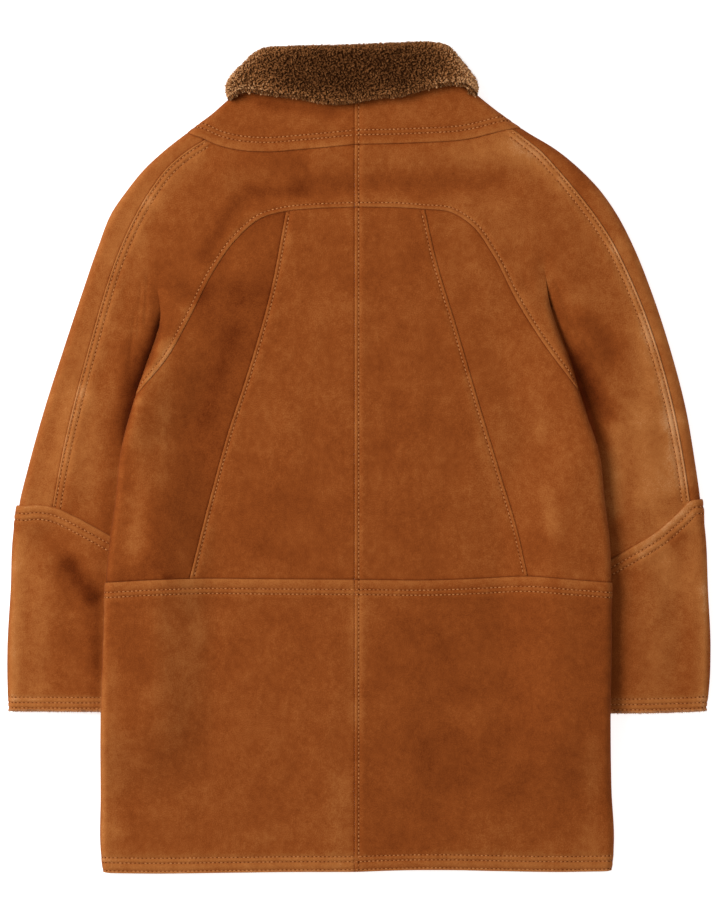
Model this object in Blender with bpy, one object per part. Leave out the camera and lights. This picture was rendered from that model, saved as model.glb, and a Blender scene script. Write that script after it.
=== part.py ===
"""A shearling coat, laid flat on its front with its back up.

Metres in the finished scene, +Z up, +Y towards the collar. The coat rests on z = 0 with its
origin under the middle. Every table and size below is in millimetres.

The coat is two layers of shearling: the fronts and the under sleeves lie on the floor, and the
backs lie on them. Each piece is cut flat, as an outline on the cloth, and is then laid: flat
over the layer below it, and turned down round a fold where the cloth runs round an edge. Back
and front pieces meet at half height of a fold. The sleeves run under the sides of the body,
which rise over them.

A point on the flat cloth lies past a fold's axis by as much cloth as goes round the fold, so
the same point on a seam belongs to both of the pieces that meet there.
"""
import math

import bmesh
import bpy
import numpy as np
from mathutils.geometry import delaunay_2d_cdt

MM = 0.001

# Cloth
WALL = 8.0                 # shearling: skin 1.2 and pile
STACK = 18.0               # a flattened tube: two walls and a little air
ROLL = STACK / 2           # outer radius of a folded edge
SEAM_GAP = 0.3
SLIT_GAP = 0.8             # between a sleeve and the body's side below the armpit
LAP = 2.5                  # a lapped edge stands this much above the piece under it
LAP_FADE = 34.0            # and sinks back within this distance
LIFT_END = 4.7             # laps and creases end this far round a fold
LIFT_FADE = 13.0
CREASE_END = 22.0          # and creases begin to sink this far before it

# Body over the sleeves
RISE = STACK + LAP + 0.6   # the body's sides lie on the sleeves
RISE_START_Y = 190.0       # the rise begins at the armpit
RISE_FULL_Y = 45.0
RISE_SLOPE = 76.0          # width of the slope down to the floor, across the body
RISE_PAST = 3.0            # the slope begins this far past the sleeve
CUFF_END_Y = -288.0        # past the cuffs the body comes down again
CUFF_FADE = 95.0

# Collar
COLLAR_BASE = 9.0
COLLAR_STACK = 22.0
COLLAR_ROLL = COLLAR_STACK / 2
COLLAR_WALL = 10.5         # fur on both faces
COLLAR_FRONT_WALL = 8.5
COLLAR_TURN = 172          # degrees that the fall turns, to its seam with the stand

STRIP_UNDER = 15.0         # the sleeve strip goes on this far past the fold, underneath

# Mesh
STEP = 25.0                # spacing of points on the backs
FOLD_STEP = 27.0           # along a fold
COLLAR_STEP = 15.0         # along the collar's fold
ROWS = 3                   # rows of points in a quarter turn
CREASE_ROWS = (0.0, 12.0, 24.0, 37.0)  # rows of points where the crease opens
FINE = 0.5                 # spacing at which a curve is searched
NEAR_AXIS = 4.0            # a seam's own points keep this far from a fold's axis
NEAR_GIVEN = 0.5           # and the points given for it this far
NEAR_MARK = 0.35           # share of a step within which a mark takes a point's place
NEAR_EDGE = 1.4            # points on a fold keep this far from an outline
NEAR_GRID = 0.45           # and the grid's points this share of STEP
SLOPE_LEAST = 0.2          # a floor that rises by less than this within a step is flat
PARTING_START = 6.0        # first point of the parting underneath
DIAGONAL = (0.83, 0.56)    # the direction that sorts the corners of a seam's side
REFINE = 2                 # steps to find the exact place along a fold

CENTRE_X = -4.4            # centre back seam

# Outlines, as x, y. L and R are the left and right of the coat as it lies.
SLEEVE_OUTLINE = {
    "L": [(-117.3, 416.5), (-128.0, 404.5), (-143.3, 394.6), (-158.9, 381.0), (-188.4, 358.4),
          (-215.2, 337.3), (-238.3, 315.5), (-255.8, 293.6), (-271.6, 270.8), (-287.5, 231.3),
          (-303.8, 184.0), (-325.7, 117.9), (-346.7, 52.0), (-364.3, -11.2), (-374.2, -52.3),
          (-378.5, -96.3)],
    "R": [(108.8, 418.2), (120.0, 408.8), (131.6, 399.0), (152.8, 382.0), (182.7, 360.8),
          (219.5, 338.2), (245.8, 316.2), (266.6, 294.2), (283.6, 270.1), (305.1, 228.3),
          (322.5, 184.3), (344.1, 118.3), (361.2, 52.3), (371.0, -5.0), (377.0, -46.8),
          (382.3, -96.3)],
}
FOREARM_OUTLINE = {
    "L": [(-374.0, -24.8), (-375.8, -55.6), (-380.5, -82.0), (-383.6, -145.8),
          (-387.2, -211.8), (-387.2, -244.8), (-385.6, -278.9), (-383.4, -310.8)],
    "R": [(376.0, -19.2), (378.4, -52.3), (382.4, -82.0), (385.4, -145.8),
          (388.2, -211.8), (386.9, -250.3), (383.3, -278.9), (380.0, -310.8)],
}
# From the shoulder seam down the armpit crease, which parts the sleeve from the body
CREASE = {
    "L": [(-230.5, 292.1), (-225.0, 239.3), (-221.7, 186.5), (-218.0, 160.1), (-220.6, 138.1),
          (-231.0, 107.3), (-242.6, 74.2), (-252.5, 41.2)],
    "R": [(217.3, 319.6), (206.3, 259.1), (204.6, 208.5), (210.1, 173.2), (219.5, 140.2),
          (231.6, 107.3), (241.5, 74.2), (252.5, 41.2)],
}
CREASE_START = 2           # the row of CREASE where the crease opens
CREASE_OPENING = 52.0      # over this length it turns down to a full fold
BODY_EDGE = {              # from the crease to the hem
    "L": [(-260.7, 8.2), (-266.8, -46.8), (-273.7, -96.3), (-277.2, -137.0), (-280.5, -200.8),
          (-283.2, -299.8), (-284.4, -376.8), (-284.4, -431.8), (-281.6, -457.1),
          (-276.7, -486.8)],
    "R": [(263.5, 8.2), (270.1, -46.8), (276.1, -96.3), (277.2, -137.0), (277.8, -200.8),
          (276.7, -299.8), (278.9, -365.8), (281.6, -426.3), (278.9, -457.1),
          (273.4, -486.8)],
}
SLEEVE_INNER = {           # the sleeve's fold under the body
    "L": [(-255.8, 19.2), (-242.6, -24.8), (-232.7, -63.3), (-229.4, -112.8),
          (-231.6, -178.8), (-236.0, -278.9), (-239.3, -376.8), (-241.5, -486.8)],
    "R": [(255.8, 19.2), (243.7, -24.8), (231.6, -63.3), (228.3, -112.8),
          (230.5, -178.8), (234.9, -278.9), (238.2, -376.8), (240.4, -486.8)],
}

# Seams, from the centre or from the top
NECK_EDGE = {
    "L": [(CENTRE_X, 344.3), (-62.2, 338.8), (-104.0, 336.1), (-135.9, 338.8),
          (-161.2, 346.0), (-168.9, 349.8), (-185.4, 356.4), (-189.5, 358.6)],
    "R": [(CENTRE_X, 344.3), (60.0, 346.0), (121.6, 350.4), (157.9, 359.2),
          (168.0, 361.4), (178.8, 363.0)],
}
SHOULDER = {
    "L": [(-168.9, 349.8), (-187.6, 338.2), (-209.6, 319.6), (-230.5, 292.1),
          (-251.4, 254.7), (-263.5, 227.2), (-280.0, 179.9), (-293.2, 133.7), (-310.8, 68.8),
          (-326.2, 2.8), (-336.6, -54.5)],
    "R": [(170.0, 361.4), (184.3, 350.4), (200.8, 337.2), (217.3, 319.6), (238.2, 295.4),
          (258.0, 270.1), (276.7, 242.6), (293.2, 210.7), (307.5, 178.8), (329.5, 118.3),
          (346.0, 57.8), (357.0, 2.8), (364.7, -47.9)],
}
ARCH = {
    "L": [(CENTRE_X, 275.6), (-51.2, 273.7), (-79.8, 270.8), (-106.2, 263.5),
          (-134.8, 239.3), (-159.0, 205.2), (-186.5, 151.2), (-211.8, 106.2),
          (-236.0, 77.5), (-244.0, 69.0)],
    "R": [(CENTRE_X, 275.6), (45.7, 275.0), (73.2, 273.0), (100.7, 270.1), (122.7, 256.9),
          (148.0, 222.8), (172.2, 175.5), (195.3, 137.0), (217.3, 105.1), (243.7, 71.0)],
}
SLANT = {
    "L": [(-79.8, 270.8), (-97.4, 179.9), (-122.7, 90.8), (-143.6, 27.0),
          (-163.4, -44.6), (-185.4, -133.1)],
    "R": [(73.2, 273.0), (85.2, 219.5), (108.4, 142.5), (130.4, 67.7),
          (156.8, -19.2), (174.4, -78.7), (185.9, -130.4)],
}
WAIST = {
    "L": [(CENTRE_X, -134.2), (-97.4, -133.7), (-185.4, -133.1), (-226.1, -134.2),
          (-278.5, -137.0)],
    "R": [(CENTRE_X, -134.2), (84.2, -134.8), (141.4, -132.6), (185.9, -130.4),
          (234.9, -133.7), (278.0, -137.0)],
}
ELBOW = {
    "L": [(-380.0, -56.2), (-354.8, -52.3), (-336.6, -54.5), (-311.9, -64.9),
          (-294.2, -74.2), (-272.2, -86.4), (-228.0, -109.0)],
    "R": [(382.0, -45.4), (364.7, -47.9), (351.5, -61.1), (326.2, -83.1),
          (300.9, -98.5), (277.8, -111.7), (226.0, -136.0)],
}
CUFF = {
    "L": [(-390.0, -279.4), (-306.4, -279.9), (-234.0, -280.3)],
    "R": [(388.0, -279.0), (362.0, -280.2), (310.0, -281.6), (233.0, -281.3)],
}
HEM = {
    "L": [(CENTRE_X, -456.2), (-70.0, -456.3), (-150.0, -457.2), (-220.0, -458.0),
          (-284.0, -457.4)],
    "R": [(CENTRE_X, -456.2), (50.0, -454.4), (100.0, -453.9), (190.0, -454.6),
          (282.0, -455.4)],
}
NECKLINE = {               # under the collar
    "L": [(CENTRE_X, 416.4), (-64.4, 415.3), (-96.0, 413.0), (-112.8, 412.0),
          (-119.4, 418.6)],
    "R": [(CENTRE_X, 416.4), (55.0, 415.3), (88.0, 414.0), (104.4, 413.4),
          (111.8, 421.6)],
}
FRONT_NECK = {
    "L": [(CENTRE_X, 336.0), (-40.0, 341.0), (-80.0, 362.0), (-106.0, 392.0),
          (-112.8, 412.0), (-119.4, 418.6)],
    "R": [(CENTRE_X, 336.0), (30.0, 341.0), (70.0, 362.0), (97.0, 393.0),
          (104.4, 413.4), (111.8, 421.6)],
}
COLLAR_OUTLINE = [(-140.2, 390.0), (-145.8, 398.8), (-146.3, 406.5), (-141.4, 419.7),
                  (-128.2, 432.9), (-117.2, 443.9), (-106.2, 450.1), (-80.9, 452.5),
                  (-14.9, 454.2), (45.7, 456.6), (80.9, 457.2), (97.3, 453.9),
                  (111.3, 441.6), (124.5, 424.9), (131.6, 411.1), (131.4, 401.0),
                  (126.4, 392.2)]
FALL_EDGE = [(-147.0, 403.0), (-134.0, 402.4), (-117.2, 400.6), (-91.9, 397.1),
             (-62.2, 393.8), (-40.2, 389.4), (-18.2, 388.3), (1.7, 391.1), (23.7, 394.9),
             (47.9, 397.1), (69.9, 403.7), (91.9, 408.1), (109.5, 409.4), (119.0, 409.0),
             (131.5, 408.4)]
COLLAR_FRONT_START = {"L": (-136.0, 425.0), "R": (121.0, 426.5)}
COLLAR_CORNER = {"L": (-116.5, 421.5), "R": (106.0, 423.2)}
STAND_START = {"L": (-128.0, 433.0), "R": (113.0, 436.5)}

# Largest creases, each along a line from x0, y0 to x1, y1: half width and height
CREASES = [
    # x0,     y0,     x1,    y1,   width, height
    (-125.0, 294.0, 160.0, 297.0, 19.0, -3.0),
    (-140.0, 322.0, 172.0, 338.0, 17.0, 2.2),
    (-338.0, -88.0, -282.0, -152.0, 19.0, -3.4),
    (-345.0, -120.0, -340.0, -200.0, 20.0, 1.6),
    (-312.0, 55.0, -318.0, -30.0, 20.0, 2.2),
    (320.0, 60.0, 328.0, -40.0, 20.0, 2.2),
    (272.0, 140.0, 281.0, 96.0, 18.0, -2.6),
    (356.0, -120.0, 350.0, -240.0, 18.0, -1.8),
    (-27.0, -210.0, -30.0, -430.0, 26.0, 1.4),
    (92.0, -250.0, 100.0, -370.0, 30.0, -1.6),
]

SUEDE = (0.30, 0.075, 0.021)
SUEDE_STRIP = (0.38, 0.115, 0.035)
FUR = (0.075, 0.032, 0.014)


def smooth(value):
    """0 below 0, 1 above 1, and an S between."""
    value = np.clip(value, 0.0, 1.0)
    return value * value * (3.0 - 2.0 * value)


def spline(points, step):
    """A smooth curve with a point at each given one and about every step between."""
    given = np.array(points, float)
    knots = np.concatenate(([0.0], np.cumsum(np.linalg.norm(np.diff(given, axis=0), axis=1))))
    slope = np.gradient(given, knots, axis=0)
    out = [given[0]]
    for i in range(len(given) - 1):
        span = knots[i + 1] - knots[i]
        count = max(1, int(math.ceil(span / step)))
        for k in range(1, count + 1):
            u = k / count
            out.append((2 * u**3 - 3 * u**2 + 1) * given[i]
                       + (u**3 - 2 * u**2 + u) * span * slope[i]
                       + (3 * u**2 - 2 * u**3) * given[i + 1]
                       + (u**3 - u**2) * span * slope[i + 1])
    return np.array(out)


def normals(curve, side):
    """Unit normals of a curve, to the left of its direction for side 1, right for -1."""
    along = np.gradient(curve, axis=0)
    along /= np.linalg.norm(along, axis=1)[:, None]
    across = np.stack((-along[:, 1], along[:, 0]), axis=1) * side
    padded = np.pad(across, ((3, 3), (0, 0)), mode="edge")
    across = sum(padded[k:k + len(across)] for k in range(7)) / 7
    return across / np.linalg.norm(across, axis=1)[:, None]


def distance_to(curve, point):
    """Distance from a point to a polyline."""
    start, end = curve[:-1], curve[1:]
    along = end - start
    share = ((point - start) * along).sum(1) / (along * along).sum(1)
    foot = start + along * np.clip(share, 0.0, 1.0)[:, None]
    return np.linalg.norm(point - foot, axis=1).min()


class Fold:
    """An edge where the cloth turns down round a roll. Its axis is the roll's own axis, seen
    from above. t runs along the axis, s is the length of cloth past it."""

    def __init__(self, outline, side, radius=ROLL, opening=None, inset=0.0, step=FOLD_STEP):
        rim = spline(outline, 2.0)
        across = normals(rim, side)
        self.radius = radius
        self.side = side
        self.step = step
        self.open = np.ones(len(rim)) if opening is None else opening(rim)
        offset = radius * np.sin(self.open * math.pi / 2) + inset * self.open
        self.axis = rim - across * offset[:, None]
        self.across = normals(self.axis, side)
        lengths = np.linalg.norm(np.diff(self.axis, axis=0), axis=1)
        self.t = np.concatenate(([0.0], np.cumsum(lengths)))
        turning = np.gradient(self.across, self.t, axis=0)
        self.spread = side * (turning[:, 0] * self.across[:, 1]
                              - turning[:, 1] * self.across[:, 0])
        self.marks = []

    def locate(self, point):
        """t and s of a point on the flat cloth; s is negative inside."""
        start, end = self.axis[:-1], self.axis[1:]
        along = end - start
        share = ((point - start) * along).sum(1) / (along * along).sum(1)
        share = np.clip(share, 0.0, 1.0)
        foot = start + along * share[:, None]
        away = point - foot
        i = int(np.argmin((away * away).sum(1)))
        t = self.t[i] + share[i] * (self.t[i + 1] - self.t[i])
        away, across = away[i], self.section(t)[1]
        if 0.0 < t < self.t[-1]:
            for _ in range(REFINE):
                foot, across = self.section(t)
                away = point - foot
                off = float(away @ (across[1], -across[0])) * self.side
                spread = float(np.interp(t, self.t, self.spread))
                t += off / max(0.3, 1.0 + float(away @ across) * spread)
        return t, math.copysign(math.hypot(*away), float(away @ across))

    def section(self, t):
        """The axis point at t and the unit direction outward from it."""
        foot = np.array([np.interp(t, self.t, self.axis[:, k]) for k in (0, 1)])
        across = np.array([np.interp(t, self.t, self.across[:, k]) for k in (0, 1)])
        return foot, across / np.linalg.norm(across)

    def at(self, t, s):
        """The point on the flat cloth at t and s."""
        foot, across = self.section(t)
        return foot + across * s

    def unroll(self, point):
        """The point on the flat cloth that is seen at a place from above."""
        t, seen = self.locate(point)
        if seen <= 0.0:
            return point
        return self.at(t, self.radius * math.asin(min(1.0, seen / self.radius)))

    def half_way(self, t):
        """s where the cloth has turned as far as this fold is open."""
        return self.radius * math.pi / 2 * float(np.interp(t, self.t, self.open))

    def stations(self, first, last):
        """t values from first to last, with every seam's own end among them."""
        low, high = min(first, last), max(first, last)
        near = self.step * NEAR_MARK
        values = [low, high] + [m for m in self.marks if low + 0.1 < m < high - 0.1]
        for count in range(math.ceil(low / self.step), math.floor(high / self.step) + 1):
            regular = count * self.step
            if min(abs(regular - m) for m in self.marks + [low, high]) > near:
                values.append(regular)
        return sorted(values, reverse=bool(first > last))

    def run(self, first, last, s):
        """Points along the fold at s, which is a number or a function of t."""
        return [self.at(t, s(t) if callable(s) else s) for t in self.stations(first, last)]

    def turn(self, t, first, last):
        """Points round the roll at one t, from one angle to another in degrees."""
        count = max(1, round(abs(last - first) / 90 * ROWS))
        angles = np.radians(np.linspace(first, last, count + 1))
        return [self.at(t, self.radius * a) for a in angles]


def to_rim(fine, fold, square):
    """Where a finely drawn line crosses a fold's rows, from the axis out to the rim. A square
    one turns at the axis and goes straight round."""
    places = [fold.locate(p) for p in fine]
    seen = np.array([place[1] for place in places])
    first = int(np.argmax(seen > 0))
    crossing = []
    for row in range(ROWS + 1):
        angle = math.pi / 2 * row / ROWS
        beyond = np.nonzero(seen[first:] >= fold.radius * math.sin(angle))[0]
        i = first + int(beyond[0]) if len(beyond) else int(np.argmax(seen))
        crossing.append(fold.at(places[first if square else i][0], fold.radius * angle))
    fold.marks.append(fold.locate(crossing[-1])[0])
    return crossing


def seam(points, start=None, end=None, square=False):
    """A line on the flat cloth, from the fold start or its first point to the fold end or its
    last, through the given points between them."""
    fine = spline(points, FINE)
    path = list(spline(points, STEP))
    given = {key(p) for p in points}
    tail = []
    head = []
    for fold in (start, end):
        if fold:
            path = [p for p in path
                    if fold.locate(p)[1] < (-NEAR_GIVEN if key(p) in given else -NEAR_AXIS)]
    if end:
        middle = int(np.argmin(np.linalg.norm(fine - path[-1], axis=1)))
        tail = to_rim(fine[middle:], end, square)
    if start:
        middle = int(np.argmin(np.linalg.norm(fine - path[0], axis=1)))
        head = to_rim(fine[middle::-1], start, square)[::-1]
    return head + path + tail


def nearest(path, point):
    """Index of the path's point nearest to a place."""
    return int(np.argmin([np.linalg.norm(p - np.array(point)) for p in path]))


def centre(first, last, step=STEP):
    """Points down the centre line between two heights."""
    count = max(1, int(math.ceil(abs(last - first) / step)))
    return [np.array((CENTRE_X, y)) for y in np.linspace(first, last, count + 1)]


def loop(*paths):
    """One closed outline from paths that follow each other."""
    out = []
    for path in paths:
        for p in path:
            if not out or np.linalg.norm(p - out[-1]) > 0.05:
                out.append(np.array(p, float))
    if np.linalg.norm(out[0] - out[-1]) < 0.05:
        out.pop()
    return np.array(out)


def area(outline):
    x, y = outline[:, 0], outline[:, 1]
    return 0.5 * float(np.sum(x * np.roll(y, -1) - np.roll(x, -1) * y))


def inset(outline, amount, fixed):
    """The outline moved in by an amount, but for its fixed points."""
    if area(outline) < 0:
        outline = outline[::-1]
    back = outline - np.roll(outline, 1, axis=0)
    ahead = np.roll(outline, -1, axis=0) - outline
    unit_back = back / np.linalg.norm(back, axis=1)[:, None]
    unit_ahead = ahead / np.linalg.norm(ahead, axis=1)[:, None]
    in_back = np.stack((-unit_back[:, 1], unit_back[:, 0]), axis=1)
    in_ahead = np.stack((-unit_ahead[:, 1], unit_ahead[:, 0]), axis=1)
    scale = amount / np.maximum(0.35, 1.0 + (in_back * in_ahead).sum(1))
    moved = outline + (in_back + in_ahead) * scale[:, None]
    keys = {key(p) for p in fixed}
    for i, p in enumerate(outline):
        if key(p) in keys:
            moved[i] = p
    return moved


def key(point):
    return (round(float(point[0]), 3), round(float(point[1]), 3))


def inside(outline, point):
    x, y = point
    x0, y0 = outline[:, 0], outline[:, 1]
    x1, y1 = np.roll(x0, -1), np.roll(y0, -1)
    cuts = (y0 > y) != (y1 > y)
    at = x0[cuts] + (y - y0[cuts]) / (y1[cuts] - y0[cuts]) * (x1[cuts] - x0[cuts])
    return int(np.sum(at > x)) % 2 == 1


def crease_height(point):
    """Height of the large soft creases at a place."""
    height = 0.0
    for x0, y0, x1, y1, width, size in CREASES:
        start = np.array((x0, y0))
        along = np.array((x1, y1)) - start
        share = float((point - start) @ along) / float(along @ along)
        foot = start + along * min(1.0, max(0.0, share))
        away = np.linalg.norm(point - foot) / width
        height += size * math.exp(-away * away)
    return height


class Layer:
    """How a piece of flat cloth lies: on top with its skin up, or underneath with it down."""

    def __init__(self, folds=(), up=True, base=0.0, stack=STACK, wall=WALL, rise=None,
                 lap=None, creased=False):
        self.folds = list(folds)
        self.up = up
        self.base = base
        self.stack = stack
        self.wall = wall
        self.rise = rise or (lambda point: 0.0)
        self.lap = lap or (lambda point: 0.0)
        self.creased = creased

    def lay(self, point, depth):
        """Where a point of the flat cloth lies; depth is 0 on its skin and 1 on its pile."""
        places = [(fold.locate(point), fold) for fold in self.folds]
        s = -1.0e9
        if places:
            (t, s), fold = max(places, key=lambda place: place[0][1])
        lift = self.lap(point)
        if self.creased:
            lift += crease_height(point) * float(smooth(-s / CREASE_END))
        lift *= (1.0 - depth) * float(smooth((LIFT_END - s) / LIFT_FADE))
        if s <= 0.0:
            floor = self.base + self.rise(point)
            if self.up:
                return (*point, floor + self.stack - self.wall * depth + lift)
            return (*point, floor + self.wall * depth)
        angle = min(s / fold.radius, math.pi)
        past = s - fold.radius * angle
        foot = fold.at(t, 0.0)
        across = fold.at(t, 1.0) - foot
        reach = fold.radius - self.wall * depth + lift
        side = foot + across * (reach * math.sin(angle) - past)
        floor = self.base + self.rise(foot)
        if self.up:
            return (*side, floor + self.stack - fold.radius + reach * math.cos(angle))
        return (*side, floor + fold.radius - reach * math.cos(angle))


def slopes(layer, point):
    """Whether the floor under a layer rises near a place."""
    around = [layer.rise(point + np.array(d)) for d in
              ((0.0, 0.0), (STEP, 0.0), (-STEP, 0.0), (0.0, STEP), (0.0, -STEP))]
    return max(around) - min(around) > SLOPE_LEAST


def fill(outline, layer, coarse):
    """Triangles over an outline, with rows of points along each fold and a grid between them.
    A coarse grid has every second point, but for the places where it rises."""
    low, high = outline.min(0), outline.max(0)
    closed = np.vstack((outline, outline[:1]))
    points = []
    for fold in layer.folds:
        for t in fold.stations(fold.t[0], fold.t[-1]):
            for row in range(2 * ROWS):
                point = fold.at(t, fold.radius * math.pi / 2 * row / ROWS)
                if not (np.all(point > low) and np.all(point < high)):
                    continue
                if inside(outline, point) and distance_to(closed, point) > NEAR_EDGE:
                    points.append(point)
    for column in range(math.floor(low[0] / STEP), math.ceil(high[0] / STEP) + 1):
        for row in range(math.floor(low[1] / STEP), math.ceil(high[1] / STEP) + 1):
            point = np.array((column * STEP, row * STEP))
            if not inside(outline, point) or distance_to(closed, point) < NEAR_GRID * STEP:
                continue
            if any(fold.locate(point)[1] > -NEAR_GRID * STEP for fold in layer.folds):
                continue
            if coarse and (column % 2 or row % 2) and not slopes(layer, point):
                continue
            points.append(point)
    everything = [tuple(p) for p in outline] + [tuple(p) for p in points]
    ring = list(range(len(outline)))
    verts, _, faces, *_ = delaunay_2d_cdt(everything, [], [ring], 1, 1e-4)
    return [np.array(v[:]) for v in verts], faces


def material(name, colour, roughness):
    made = bpy.data.materials.new(name)
    made.use_nodes = True
    shader = made.node_tree.nodes["Principled BSDF"]
    shader.inputs["Base Color"].default_value = (*colour, 1.0)
    shader.inputs["Roughness"].default_value = roughness
    shader.inputs["Metallic"].default_value = 0.0
    return made


class Coat:
    def __init__(self):
        self.collection = bpy.data.collections.new("Shearling coat")
        bpy.context.scene.collection.children.link(self.collection)
        self.materials = {
            "suede": material("suede", SUEDE, 0.85),
            "suede_strip": material("suede_strip", SUEDE_STRIP, 0.85),
            "fur": material("fur", FUR, 0.95),
        }

    def piece(self, name, patches, finish="suede", coarse=False):
        """Cut each patch flat, give it its thickness, and lay it. Patches that share fixed
        points are one piece of cloth."""
        bm = bmesh.new()
        flat_x = bm.verts.layers.float.new("flat_x")
        flat_y = bm.verts.layers.float.new("flat_y")
        which = bm.verts.layers.int.new("patch")
        known = {}
        for number, (outline, layer, fixed) in enumerate(patches):
            cut = inset(outline, SEAM_GAP / 2, fixed)
            points, faces = fill(cut, layer, coarse)
            verts = []
            for p in points:
                if key(p) not in known:
                    vert = bm.verts.new((p[0], p[1], 0.0))
                    vert[flat_x], vert[flat_y], vert[which] = p[0], p[1], number
                    known[key(p)] = vert
                verts.append(known[key(p)])
            for face in faces:
                bm.faces.new([verts[i] for i in face])
        skin = set(bm.verts)
        bmesh.ops.extrude_face_region(bm, geom=bm.faces[:])
        for face in [f for f in bm.faces if 0 < len(skin.intersection(f.verts)) < len(f.verts)]:
            # Both of the pieces at a seam have its side split the same way
            ends = sorted(face.verts,
                          key=lambda v: v[flat_x] * DIAGONAL[0] + v[flat_y] * DIAGONAL[1])
            upper = next(v for v in ends if v in skin)
            lower = next(v for v in reversed(ends) if v not in skin)
            bmesh.utils.face_split(face, upper, lower)
        for vert in bm.verts:
            point = np.array((vert[flat_x], vert[flat_y]))
            layer = patches[vert[which]][1]
            depth = 0.0 if vert in skin else 1.0
            vert.co = [c * MM for c in layer.lay(point, depth)]
        bmesh.ops.recalc_face_normals(bm, faces=bm.faces[:])
        mesh = bpy.data.meshes.new(name)
        bm.to_mesh(mesh)
        bm.free()
        mesh.materials.append(self.materials[finish])
        thing = bpy.data.objects.new(name, mesh)
        self.collection.objects.link(thing)
        return thing


def crease_opening(start_y):
    """How far a fold beside the armpit crease has turned down, 0 at its start to 1."""
    return lambda rim: smooth((start_y - rim[:, 1]) / CREASE_OPENING)


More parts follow.
